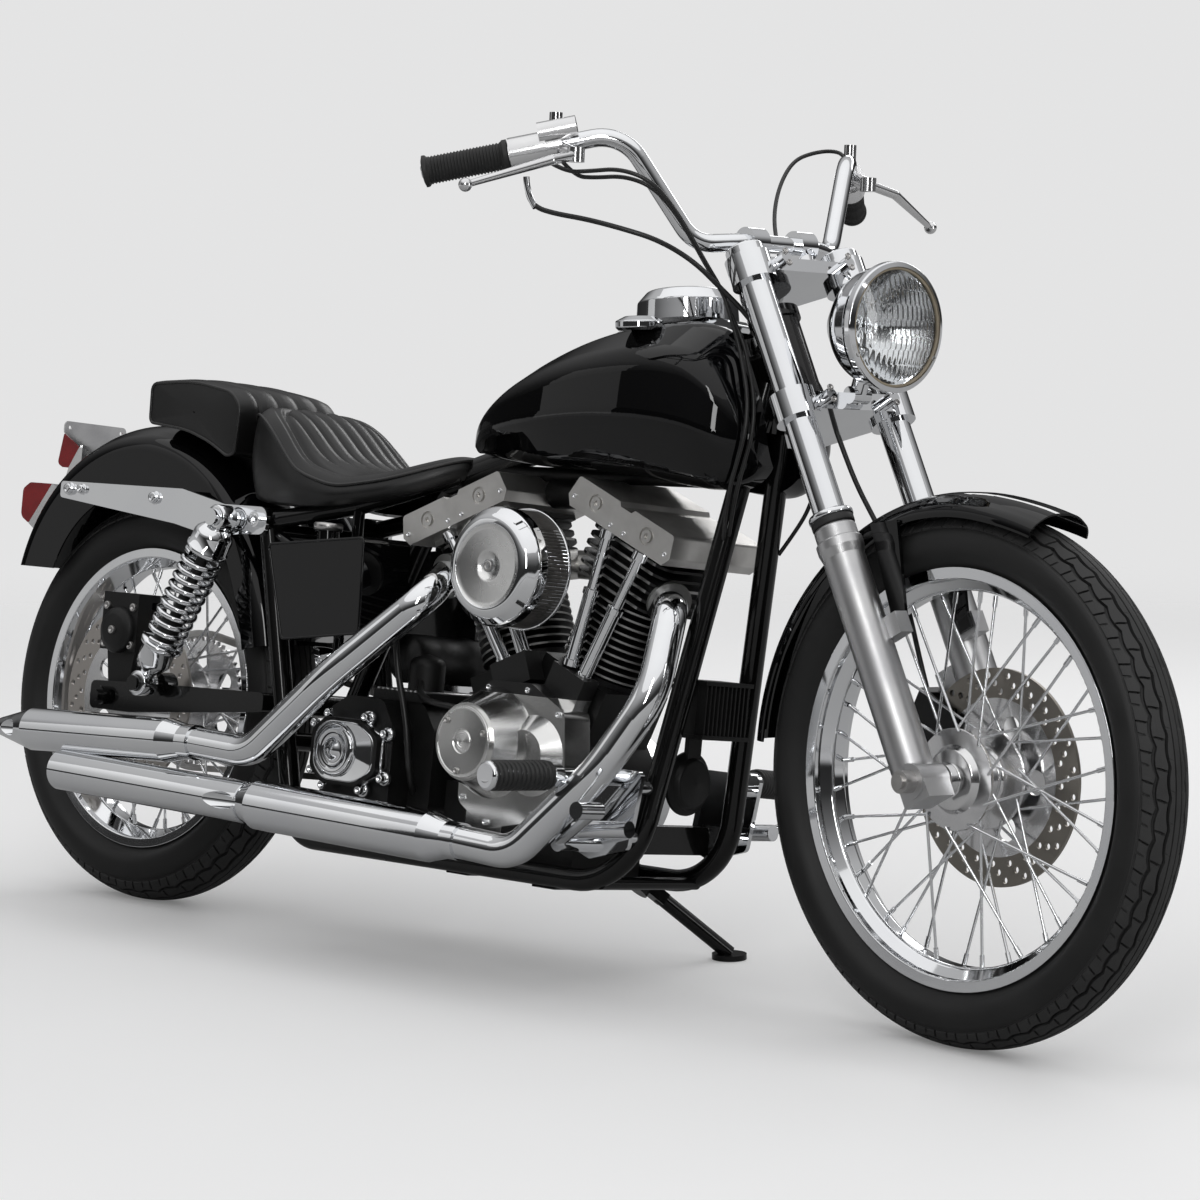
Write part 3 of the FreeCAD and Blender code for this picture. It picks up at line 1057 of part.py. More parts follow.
def horn():
    # round horn hung from the regulator's plate, between the downtubes
    x1 = WHEELBASE - FRONT_FENDER_R - REGULATOR_GAP
    body = turned([(0.1, 0), (28, 0, 4), (46, 12, 4), (46, 18, 2), (38, 22), (34, 30, 4), (0.1, 34)],
                  pt(x1 - 78, 0, REGULATOR_Z - 66), X)
    strap = block(x1 - 62, x1 - 54, -14, 14, REGULATOR_Z - 60, REGULATOR_Z)
    return fuse([body, strap])


def drive_chain():
    def loop(grow):
        ends = ((0.0, REAR_AXLE_Z, SPROCKET_R + grow),
                (FRONT_SPROCKET_X, FRONT_SPROCKET_Z, FRONT_SPROCKET_R + grow))
        run = pt(ends[1][0] - ends[0][0], 0, ends[1][1] - ends[0][1])
        tilt = asin((ends[0][2] - ends[1][2]) / run.Length)
        slope = atan2(run.z, run.x)
        up, down = slope + pi / 2 - tilt, slope - pi / 2 + tilt
        corners = [(x + r * cos(a), z + r * sin(a))
                   for a, pair in ((up, ends), (down, ends[::-1])) for x, z, r in pair]
        y0, y1 = SPROCKET_Y - CHAIN_W, SPROCKET_Y + CHAIN_W
        return fuse([across(x, z, y0, y1, r) for x, z, r in ends] + [side_plate(corners, y0, y1)])

    return loop(CHAIN_GAP + CHAIN_T).cut(loop(CHAIN_GAP))


# Rear brake caliper over the disc, on a bracket from the axle

def rear_caliper():
    edge = REAR_AXLE_Z + DISC_R
    outer_face, inner_face = REAR_DISC_Y - CALIPER_GAP, REAR_DISC_Y + CALIPER_GAP
    halves = [(CALIPER_OUT, outer_face), (inner_face, CALIPER_IN)]
    parts = [block(-40, 44, low, high, edge - 73, edge + 9) for low, high in halves]
    parts.append(block(-40, 44, CALIPER_OUT, CALIPER_IN, edge + 7, edge + 19))
    parts.append(across(2, edge - 41, CALIPER_OUT, CALIPER_OUT - 12, 24.0))
    bracket = side_plate([(-20, REAR_AXLE_Z, 10), (20, REAR_AXLE_Z, 10), (38, edge - 61), (-34, edge - 61)],
                         -102.5, -96)
    parts.append(bracket.cut(across(0, REAR_AXLE_Z, -120, -90, 17.0)))
    return fuse(parts)


# Fork, drawn in its own frame, then placed and turned

def flat_plate(corners, z0, z1):
    wire = outline(corners, lambda a, b: pt(a, b, z0))
    return Part.Face(wire).extrude(pt(0, 0, z1 - z0))


def fork_trees():
    parts = []
    for z, web in ((LOW_CLAMP, 26.0), (TOP_CLAMP, 20.0)):
        z0, z1 = z - CLAMP_T / 2, z + CLAMP_T / 2
        for s in SIDES:
            leg_y, bolt_y = s * FORK_HALF, s * (FORK_HALF - 30)
            parts.append(rod(pt(-TUBE_BACK, leg_y, z0), pt(-TUBE_BACK, leg_y, z1), FORK_TUBE_R + 10))
            parts.append(rod(pt(-TUBE_BACK + 6, bolt_y, z), pt(-TUBE_BACK + 44, bolt_y, z), 9.0))
        parts.append(flat_plate([(-STEER_OFFSET - 26, -26, 12), (-44, -FORK_HALF, 10), (14, -FORK_HALF, 6),
                                 (14, FORK_HALF, 6), (-44, FORK_HALF, 10), (-STEER_OFFSET - 26, 26, 12)],
                                z - web / 2, z + web / 2))
    parts.append(block(-71, -47, -67, -45, LOW_CLAMP + 8, LOW_CLAMP + 40))
    stem = rod(pt(-STEER_OFFSET, 0, LOW_CLAMP - 16), pt(-STEER_OFFSET, 0, TOP_CLAMP + 22), STEM_R)
    nut = rod(pt(-STEER_OFFSET, 0, TOP_CLAMP + 6), pt(-STEER_OFFSET, 0, TOP_CLAMP + 26), 22.0)
    whole = fuse(parts + [stem, nut])
    bores = [rod(pt(-TUBE_BACK, s * FORK_HALF, 400), pt(-TUBE_BACK, s * FORK_HALF, 900), FORK_TUBE_R)
             for s in SIDES]
    return fork_place(whole.cut(Part.makeCompound(bores)))


def fork_tubes():
    made = []
    for s in SIDES:
        low, high = SLIDER_TOP - 120, TUBE_TOP
        tube = turned([(0.1, low), (FORK_TUBE_R, low), (FORK_TUBE_R, high - 6), (FORK_TUBE_R + 5, high - 6),
                       (FORK_TUBE_R + 5, high + 6, 3), (14, high + 12, 4), (0.1, high + 12)],
                      pt(-TUBE_BACK, s * FORK_HALF, 0), Z)
        made.append(tube)
    return [fork_place(t) for t in made]


def slider(s):
    body = turned([(0.1, SLIDER_BOTTOM + 14), (SLIDER_R - 6, SLIDER_BOTTOM + 14, 4),
                   (SLIDER_R, SLIDER_BOTTOM + 56, 20),
                   (SLIDER_R, SLIDER_TOP - 46), (SLIDER_R + 3, SLIDER_TOP - 34, 4),
                   (SLIDER_R + 3, SLIDER_TOP - 22, 2),
                   (SLIDER_R, SLIDER_TOP - 20), (SLIDER_R, SLIDER_TOP - 4), (FORK_TUBE_R + 5, SLIDER_TOP, 2),
                   (0.1, SLIDER_TOP)], pt(-TUBE_BACK, s * FORK_HALF, 0), Z)
    lug = across(0, 0, s * (FORK_HALF - 26), s * (FORK_HALF + 26), AXLE_LUG_R)
    cap = block(-AXLE_LUG_R, AXLE_LUG_R, min(s * 66, s * 114), max(s * 66, s * 114), -30, -4)
    fender_lug = block(4, 40, min(s * 61.3, s * 84), max(s * 61.3, s * 84), 196, 226)
    caliper_lug = block(-62, -30, min(s * 66, s * 84), max(s * 66, s * 84), 84, 176)
    parts = [body, lug, cap, fender_lug] + ([caliper_lug] if s > 0 else [])
    whole = fuse(parts)
    whole = whole.cut(rod(pt(-TUBE_BACK, s * FORK_HALF, SLIDER_TOP - 120), pt(-TUBE_BACK, s * FORK_HALF, 600),
                          FORK_TUBE_R))
    return fork_place(whole.cut(across(0, 0, s * 40, s * 140, AXLE_R)))


def front_axle():
    half = FORK_HALF + 26
    spacers = [across(0, 0, s * (FRONT_HUB_HALF + SEAT_GAP), s * (FORK_HALF - 26), 15.0) for s in SIDES]
    whole = fuse([across(0, 0, -half - 22, half + 10, AXLE_R), across(0, 0, -half, -half - 18, 15.0),
                  across(0, 0, half, half + 12, 15.0), *spacers])
    return fork_place(whole)


def front_caliper():
    # drawn over the disc's top, then turned to its place behind the left leg
    gap, wall = DISC_T / 2 + 5.0, 7.0
    inner_y, outer_y, piston_y = FRONT_DISC_Y - gap, FRONT_DISC_Y + gap, FRONT_DISC_Y + 20.5
    body = fuse([block(-40, 40, inner_y - wall, inner_y, -30, 48), block(-40, 40, outer_y, piston_y, -30, 48),
                 block(-40, 40, inner_y - wall, piston_y, 34, 48), across(0, 0, piston_y, piston_y + 8, 22.0)])
    body.rotate(pt(0, 0, 0), Y, 90 - CALIPER_ANGLE)
    a = radians(CALIPER_ANGLE)
    body.translate(pt(CALIPER_R * cos(a), 0, CALIPER_R * sin(a)))
    return fork_place(body.cut(block(-62, -30, 66, 84, 84, 176)))


BAR_RIGHT = [(918, -412, 1143), (1104, -216, 1206), (1164, -130, 1058), (1192, -62, 1064)]


def bar_points():
    right = [pt(*p) for p in BAR_RIGHT]
    return right + [pt(p.x, -p.y, p.z) for p in reversed(right)]


def handlebar():
    bar = bent_rod(bar_points(), [62, 46, 60, 60, 46, 62], BAR_R)
    parts = [bar]
    for s in SIDES:
        y = s * 46.0
        parts.append(across(1192, 1064, y - 15, y + 15, BAR_R + 9))
        foot = fork_point(-STEER_OFFSET + 44, y, TOP_CLAMP + 10)
        parts.append(rod(foot, pt(1192, y, 1060), 15.0))
    return fuse(parts)


def bar_frame(s):
    # end of the bar and the direction inward along it
    right = [pt(p[0], s * -p[1], p[2]) for p in BAR_RIGHT]
    return right[0], unit(right[1] - right[0])


def grips():
    made = []
    for s in SIDES:
        end, inward = bar_frame(s)
        grip = fuse([rod(end - inward * 4, end + inward * 6, GRIP_R + 3),
                     rod(end, end + inward * GRIP_LEN, GRIP_R),
                     rod(end + inward * (GRIP_LEN - 10), end + inward * GRIP_LEN, GRIP_R + 3)])
        made.append(grip.cut(rod(end, end + inward * 200, BAR_R)))
    return made


def mirror_seat(side):
    # top of the threaded mirror boss on a lever perch
    end, inward = bar_frame(side)
    return end + inward * (GRIP_LEN + 64) + pt(0, 0, MIRROR_SEAT_UP)


def hand_controls():
    made = []
    for s in SIDES:
        end, inward = bar_frame(s)
        top = mirror_seat(s)
        a = end + inward * (GRIP_LEN + 1)
        housing = rod(a, a + inward * 52, 23.0)
        clamp = rod(a + inward * 52, a + inward * 74, 20.0)
        pivot = pt(1083, s * 281, 1171)
        tip = pt(1052, s * 447, 1119)
        knee = pt(1090, s * 330, 1160)
        lever = fuse([rod(a + inward * 62, pivot, 10.0),
                      rod(pivot - pt(0, 0, 10), pivot + pt(0, 0, 10), 12.0),
                      rod(pivot, knee, 7.0), taper(knee, tip, 7.0, 4.5), Part.makeSphere(9.5, tip),
                      Part.makeSphere(7.0, knee)])
        parts = [housing, clamp, lever, rod(top - pt(0, 0, MIRROR_SEAT_UP - 8), top, MIRROR_BOSS_R)]
        if s < 0:
            reservoir = a + pt(14, 0, 22)
            parts.append(rod(reservoir + inward * 30, reservoir + inward * 84, 16.0))
        whole = fuse(parts)
        hole = rod(top - pt(0, 0, MIRROR_DEPTH), top + pt(0, 0, 1), MIRROR_R)
        made.append(whole.cut(rod(end, end + inward * 400, BAR_R)).cut(hole))
    return made


def headlamp_shell():
    # thin bowl with a rolled rim, open in front, on its stalk
    bowl = turned([(0.1, -LAMP_DEPTH), (34, -LAMP_DEPTH, 10), (78, -46, 60), (LAMP_RIM_R - 4, -14, 6),
                   (LAMP_RIM_R, -6, 4), (LAMP_RIM_R, 4, 3), (LAMP_R + 0.5, 7), (LAMP_R + 0.5, -14),
                   (75, -46, 57), (33, LAMP_WALL - LAMP_DEPTH, 8), (0.1, LAMP_WALL - LAMP_DEPTH)],
                  pt(LAMP_X, 0, LAMP_Z), X)
    stalk = [rod(pt(1376, 0, LAMP_Z - 62), pt(1366, 0, 858), 12.0),
             rod(pt(1366, -16, 858), pt(1366, 16, 858), 12.0),
             rod(fork_point(14, 0, LOW_CLAMP - 2), pt(1366, 0, 858), 9.0)]
    room = rod(pt(LAMP_X + 7, 0, LAMP_Z), pt(LAMP_X - 60, 0, LAMP_Z), 70.0)
    return fuse([bowl, *[part.cut(room) for part in stalk]])


def headlamp_reflector():
    # parabolic dish with a bulb at its focus, held at the lens rim
    def depth(r):
        return r * r / (4 * LAMP_FOCUS) - LAMP_FLOOR

    edge = LAMP_R - 1.0
    front, back = Part.BSplineCurve(), Part.BSplineCurve()
    front.interpolate([pt(edge * k / 8, 0, depth(edge * k / 8)) for k in range(9)])
    back.interpolate([pt(edge * k / 8, 0, depth(edge * k / 8) - 2) for k in range(9)])
    sides = [Part.makeLine(curve[0], curve[1]) for curve in
             ((pt(0, 0, depth(0) - 2), pt(0, 0, depth(0))),
              (pt(edge, 0, depth(edge) - 2), pt(edge, 0, depth(edge))))]
    section = Part.Face(Part.Wire([front.toShape(), sides[1], back.toShape(), sides[0]]))
    dish = section.revolve(pt(0, 0, 0), Z, 360)
    bulb = fuse([rod(pt(0, 0, -LAMP_FLOOR - 1), pt(0, 0, -LAMP_FLOOR + 16), 9.0),
                 rod(pt(0, 0, -LAMP_FLOOR + 16), pt(0, 0, -LAMP_FLOOR + 30), 6.0),
                 Part.makeSphere(6.0, pt(0, 0, -LAMP_FLOOR + 30))])
    whole = fuse([dish, bulb])
    whole.Placement = FreeCAD.Placement(pt(LAMP_X, 0, LAMP_Z), FreeCAD.Rotation(Z, X))
    return whole


def headlamp_lens():
    dome_x = LAMP_X + LENS_RISE - LENS_DOME_R
    lens = turned([(0.1, -6), (LAMP_R, -6), (LAMP_R, 3, 2), (0.1, LENS_RISE)], pt(LAMP_X, 0, LAMP_Z), X)
    lens = lens.common(Part.makeSphere(LENS_DOME_R, pt(dome_x, 0, LAMP_Z)))
    inside = Part.makeSphere(LENS_DOME_R - LENS_WALL, pt(dome_x, 0, LAMP_Z))
    bore = rod(pt(LAMP_X - 20, 0, LAMP_Z), pt(LAMP_X + 20, 0, LAMP_Z), LAMP_R - 5)
    return lens.cut(inside.common(bore))


def by_front_fender(angle, inset):
    # side point inside the front fender's outer arc
    a, r = radians(angle), FRONT_FENDER_R - inset
    return FRONT_AXLE.x + r * cos(a), FRONT_AXLE.z + r * sin(a)


def front_fender():
    section = fender_section(FRONT_FENDER_R, FRONT_FENDER_HALF, FRONT_FENDER_DROP, FRONT_FENDER_CROWN, SKIN)
    main_arc = arc_swept(section, FRONT_AXLE.x, FRONT_AXLE.z, FRONT_FENDER_FLIP, FRONT_FENDER_END)
    a = radians(FRONT_FENDER_FLIP)
    section = fender_section(FRONT_FENDER_R + FLIP_R, FRONT_FENDER_HALF, FRONT_FENDER_DROP, FRONT_FENDER_CROWN,
                             SKIN)
    tip = arc_swept(section, FRONT_AXLE.x - FLIP_R * cos(a), FRONT_AXLE.z - FLIP_R * sin(a), FRONT_FENDER_TIP,
                    FRONT_FENDER_FLIP)
    parts = [main_arc, tip]
    lug = [fork_point(x, 0, z) for x, z in ((8, 204), (36, 204), (36, 224))]
    corners = [(p.x, p.z) for p in lug] + [by_front_fender(106.2, 28), by_front_fender(114.2, 18)]
    for s in SIDES:
        y0, y1 = sorted((s * FRONT_FENDER_HALF, s * (FRONT_FENDER_HALF + LUG_T)))
        parts.append(side_plate(corners, y0, y1))
    return fuse(parts)


# Side stand, drawn parked: its foot lies flat on the ground

STAND_PIVOT = pt(930, 138, 138)
STAND_FOOT = pt(1010, 262, 0)
STAND_R, STAND_PAD_T = 11.0, 8.0
KNUCKLE_R, KNUCKLE_HALF, STAND_PIN_R = 17.0, 9.0, 8.0
TONGUE_LENGTH, TONGUE_HALF = 32.0, 13.0


def stand_axis():
    hinge = PARK.multVec(STAND_PIVOT)
    foot = PARK.multVec(STAND_FOOT)
    foot = pt(foot.x, foot.y, STAND_PAD_T)
    down = unit(foot - hinge)
    folded = PARK.Rotation.multVec(unit(pt(-0.975, 0.19, 0.09)))
    return hinge, foot, down, folded, unit(down.cross(folded))


def side_stand():
    hinge, foot, down, folded, axis = stand_axis()
    leg = rod(hinge + down * TONGUE_LENGTH, foot, STAND_R)
    across_way = axis.cross(down) * TONGUE_HALF
    corners = [hinge - across_way, hinge + across_way, hinge + down * (TONGUE_LENGTH + 10) + across_way,
               hinge + down * (TONGUE_LENGTH + 10) - across_way]
    corners = [corner - axis * KNUCKLE_HALF for corner in corners]
    tongue = Part.Face(Part.makePolygon(corners + corners[:1])).extrude(axis * (2 * KNUCKLE_HALF))
    knuckle = rod(hinge - axis * KNUCKLE_HALF, hinge + axis * KNUCKLE_HALF, KNUCKLE_R)
    pad = Part.makeCylinder(26.0, STAND_PAD_T, pt(foot.x, foot.y, 0), Z)
    leg = leg.cut(Part.makeBox(400, 400, 200, foot - pt(200, 200, 200)))
    whole = fuse([knuckle, tongue, leg, pad])
    return whole.cut(rod(hinge - axis * 30, hinge + axis * 30, STAND_PIN_R + RUN_GAP))


def stand_bracket():
    # clevis on the left cradle rail, with the hinge pin
    hinge, foot, down, folded, axis = stand_axis()
    rail = PARK.multVec(pt(STAND_PIVOT.x, CRADLE_Y, CRADLE_Z - 1))
    up = rail - hinge
    up = unit(up - axis * up.dot(axis))
    side = axis.cross(up)
    inner, outer, top = KNUCKLE_HALF + 0.5, KNUCKLE_HALF + 6.5, KNUCKLE_R + 12

    def plate(low, high, half, start, end):
        corners = [hinge + axis * start + up * u + side * v
                   for u, v in ((low, -half), (low, half), (high, half), (high, -half))]
        return Part.Face(Part.makePolygon(corners + corners[:1])).extrude(axis * (end - start))

    pin = rod(hinge - axis * outer, hinge + axis * outer, STAND_PIN_R)
    ears = [rod(hinge + axis * a, hinge + axis * b, KNUCKLE_R) for a, b in ((inner, outer), (-outer, -inner))]
    cheeks = [plate(0, top, 14.0, a, b) for a, b in ((inner, outer), (-outer, -inner))]
    bridge = plate(KNUCKLE_R + 5, top, 14.0, -outer, outer)
    neck = rod(hinge + up * (top - 3), rail, 9.0)
    return fuse([pin, *ears, *cheeks, bridge, neck])


def seated(shape, others):
    # cut away where the named neighbours pass into a piece
    for other in others:
        if shape.BoundBox.intersect(other.BoundBox):
            shape = shape.cut(other)
    return shape


def chassis():
    bracket = stand_bracket()
    bracket.Placement = UNPARK.multiply(bracket.Placement)
    pieces = {
        "frame": frame(), "crankcase": crankcase(), "cam_cover": cam_cover(),
        "cylinder_front": cylinder(1), "cylinder_rear": cylinder(-1),
        "rocker_box_front": rocker_box(1), "rocker_box_rear": rocker_box(-1),
        "pushrod_tubes": pushrod_tubes(), "carburettor": carburettor(), "air_cleaner": air_cleaner(),
        "gearbox": gearbox(), "primary_cover": primary_cover(),
        "exhaust_front": exhaust_front(), "exhaust_rear": exhaust_rear(),
        "tank_left": tank_half(), "tank_right": mirrored(tank_half()),
        "tank_console": Part.makeCompound(tank_console()),
        "seat": seat(), "pillion": pillion(), "rear_fender": rear_fender(),
        "fender_struts": Part.makeCompound([s for s in both_sides(fender_strut())]),
        "shocks": Part.makeCompound([s for s in both_sides(shock())]),
        "swingarm": swingarm(), "oil_tank": oil_tank(), "battery_box": battery_box(),
        "tail_lamp": tail_lamp(), "tail_bracket": tail_bracket(), "rear_caliper": rear_caliper(),
        "foot_controls": Part.makeCompound(foot_controls()), "regulator": regulator(),
        "drive_chain": drive_chain(), "horn": horn(),
        "chassis_cables": Part.makeCompound(cords(CHASSIS_CABLES)),
        "gearbox_hoses": Part.makeCompound(cords(GEARBOX_HOSES)),
    }
    pieces["frame"] = pieces["frame"].fuse(bracket).removeSplitter()
    return pieces


def fork():
    pieces = {
        "fork_trees": fork_trees(), "fork_tubes": Part.makeCompound(fork_tubes()),
        "fork_sliders": Part.makeCompound([slider(s) for s in SIDES]), "front_axle": front_axle(),
        "front_caliper": front_caliper(), "handlebar": handlebar(), "grips": Part.makeCompound(grips()),
        "hand_controls": Part.makeCompound(hand_controls()), "headlamp_shell": headlamp_shell(),
        "headlamp_reflector": headlamp_reflector(), "headlamp_lens": headlamp_lens(),
        "front_fender": front_fender(), "fork_cables": Part.makeCompound(cords(FORK_CABLES)),
    }
    return pieces


# Where a piece gives way to its neighbours
GIVES_WAY = {
    "crankcase": ["cylinder_front", "cylinder_rear", "frame", "gearbox"],
    "cam_cover": ["crankcase", "cylinder_front", "cylinder_rear", "frame"],
    "cylinder_front": ["rocker_box_front", "cylinder_rear", "frame"],
    "cylinder_rear": ["rocker_box_rear", "frame"],
    "pushrod_tubes": ["cam_cover", "cylinder_front", "cylinder_rear", "rocker_box_front", "rocker_box_rear"],
    "carburettor": ["cylinder_front", "cylinder_rear", "rocker_box_front", "rocker_box_rear", "air_cleaner"],
    "gearbox": ["frame", "swingarm"],
    "primary_cover": ["frame", "crankcase", "gearbox", "swingarm", "drive_chain"],
    "exhaust_front": ["cylinder_front", "frame", "foot_controls"],
    "exhaust_rear": ["cylinder_rear", "frame", "oil_tank", "exhaust_front"],
    "tank_left": ["frame", "tank_console"], "tank_right": ["frame", "tank_console"],
    "seat": ["frame", "tank_left", "tank_right", "rear_fender", "oil_tank", "battery_box", "pillion"],
    "pillion": ["rear_fender", "frame"],
    "oil_tank": ["frame", "rear_fender"], "battery_box": ["frame", "rear_fender"],
    "fender_struts": ["frame", "rear_fender", "shocks"],
    "shocks": ["swingarm"], "swingarm": ["frame"],
    "rear_caliper": ["swingarm"], "foot_controls": ["frame"], "regulator": ["frame"],
    "drive_chain": ["frame", "swingarm", "gearbox"],
    "fork_tubes": [], "fork_trees": ["fork_tubes"], "fork_sliders": ["front_axle"],
    "handlebar": ["fork_trees", "fork_tubes"], "hand_controls": ["handlebar", "grips"],
    "grips": ["handlebar"], "headlamp_shell": ["fork_trees", "headlamp_lens"],
    "front_fender": ["fork_sliders"], "front_caliper": ["fork_sliders"],
    "headlamp_reflector": ["headlamp_lens"], "horn": ["regulator", "frame"],
    "fork_cables": ["hand_controls", "fork_trees", "front_caliper"],
    "chassis_cables": ["frame"], "gearbox_hoses": ["oil_tank", "gearbox", "cam_cover"],
}


def settle(pieces):
    made = {}
    for name, shape in pieces.items():
        others = [pieces[other] for other in GIVES_WAY.get(name, []) if other in pieces]
        made[name] = seated(shape, others)
    return made


def main():
    os.makedirs("parts", exist_ok=True)
    pieces = settle(chassis())
    pieces.update({name: steered(shape) for name, shape in settle(fork()).items()})
    pieces.update(front_wheel())
    pieces.update(rear_wheel())
    pieces = {name: parked(shape) for name, shape in pieces.items()}
    pieces["side_stand"] = side_stand()
    box = FreeCAD.BoundBox()
    for shape in pieces.values():
        box.add(shape.optimalBoundingBox(False))
    shift = pt(-box.Center.x, -box.Center.y, -box.ZMin)
    for name, shape in pieces.items():
        shape.translate(shift)
        solids = [s for s in shape.Solids if s.Volume > 1.0]
        solid = solids[0] if len(solids) == 1 else Part.makeCompound(solids)
        print("%-18s %2d solids %9.1f cm3 %s" % (name, len(solids), solid.Volume / 1000.0, solid.isValid()))
        solid.exportStep("parts/%s.step" % name)
    print("box", box.XLength, box.YLength, box.ZLength, "shift", shift)


main()
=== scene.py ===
# A long V-twin chopper on its side stand, dressed for a pale studio
import bpy, json, math
import numpy as np
from mathutils import Matrix, Vector


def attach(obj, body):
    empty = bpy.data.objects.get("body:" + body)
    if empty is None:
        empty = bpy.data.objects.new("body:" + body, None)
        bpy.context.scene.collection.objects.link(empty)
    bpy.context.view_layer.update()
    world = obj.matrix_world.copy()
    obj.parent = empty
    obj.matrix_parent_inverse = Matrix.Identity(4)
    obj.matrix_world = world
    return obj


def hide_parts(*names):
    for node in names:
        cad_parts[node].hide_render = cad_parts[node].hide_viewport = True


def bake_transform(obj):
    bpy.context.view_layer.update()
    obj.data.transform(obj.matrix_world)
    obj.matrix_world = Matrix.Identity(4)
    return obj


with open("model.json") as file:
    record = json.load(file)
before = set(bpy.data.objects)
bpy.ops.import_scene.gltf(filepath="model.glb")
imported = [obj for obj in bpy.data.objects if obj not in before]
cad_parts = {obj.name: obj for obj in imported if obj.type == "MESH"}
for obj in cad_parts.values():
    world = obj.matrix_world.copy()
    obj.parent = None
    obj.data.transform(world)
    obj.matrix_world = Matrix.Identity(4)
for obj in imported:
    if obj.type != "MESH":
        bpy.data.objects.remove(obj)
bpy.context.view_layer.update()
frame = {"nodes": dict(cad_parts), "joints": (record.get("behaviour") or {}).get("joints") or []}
nodes = frame["nodes"]
joints = {j["name"]: j for j in frame["joints"]}
print("frame loaded:", len(nodes), "nodes")

# Bike frame: millimetres, x forward from the rear axle, y left, z up, before the lean and the steering
stance = dict(axisX=(0.99999983, 0, 0.00058082), axisY=(0.00008083, 0.99026807, -0.13917308),
              axisZ=(-0.00057517, 0.13917310, 0.99026790), rearAxle=(0, 0, 325),
              steerX=(0.99097737, -0.13394120, -0.00485818), steerY=(0.13394120, 0.98836151, 0.07211990),
              steerZ=(-0.00485818, -0.07211990, 0.99738414), steerBase=(15.428692, 229.039446, 8.307495))
leanTurn = np.array([stance["axisX"], stance["axisY"], stance["axisZ"]])
steerTurn = np.array([stance["steerX"], stance["steerY"], stance["steerZ"]])
rowOrigin = np.array(joints["rear_wheel_spin"]["pos_m"]) - np.array(stance["rearAxle"]) @ leanTurn / 1000


def toRow(points, turned=False):
    # bike millimetres to the row's metres; turned ones belong to the steered fork
    points = np.asarray(points, float)
    if turned:
        points = points @ steerTurn + np.array(stance["steerBase"])
    return points @ leanTurn / 1000 + rowOrigin


def turnRow(vectors, turned=False):
    # the same turn for directions, which have no place
    vectors = np.asarray(vectors, float)
    return (vectors @ steerTurn if turned else vectors) @ leanTurn


# Camera, from the fit of the photograph
view = dict(place=(4422, -3950, 540), yaw=131.582, pitch=0.079, roll=5.27, lens=109.3)


def makeCamera():
    yaw, pitch, roll = (math.radians(view[k]) for k in ("yaw", "pitch", "roll"))
    look = np.array([math.cos(pitch) * math.cos(yaw), math.cos(pitch) * math.sin(yaw), math.sin(pitch)])
    right = np.cross(look, (0, 0, 1))
    right /= np.linalg.norm(right)
    up = np.cross(right, look)
    c, s = math.cos(roll), math.sin(roll)
    right, up = c * right + s * up, -s * right + c * up
    axes = turnRow(np.array([right, up, -look]))
    data = bpy.data.cameras.new("studioCamera")
    data.lens, data.sensor_width = view["lens"], 36
    data.clip_start, data.clip_end = 0.1, 100
    camera = bpy.data.objects.new("studioCamera", data)
    bpy.context.scene.collection.objects.link(camera)
    place = toRow(view["place"])
    camera.matrix_world = Matrix([[*axes[:, i], place[i]] for i in range(3)] + [[0, 0, 0, 1]])
    bpy.context.scene.camera = camera


makeCamera()
print("camera placed")


# Materials
def newGroup(name, inputs, outputs):
    group = bpy.data.node_groups.new(name, "ShaderNodeTree")
    for label, kind, value in inputs:
        socket = group.interface.new_socket(label, in_out="INPUT", socket_type=kind)
        socket.default_value = value
    for label, kind in outputs:
        group.interface.new_socket(label, in_out="OUTPUT", socket_type=kind)
    return group, group.nodes.new("NodeGroupInput"), group.nodes.new("NodeGroupOutput")


def wire(tree, kind, sockets=(), **settings):
    # add a node, set its properties, and fill or link its inputs
    node = tree.nodes.new(kind)
    for key, value in settings.items():
        setattr(node, key, value)
    for key, value in dict(sockets).items():
        if isinstance(value, bpy.types.NodeSocket):
            tree.links.new(value, node.inputs[key])
        else:
            node.inputs[key].default_value = value
    return node


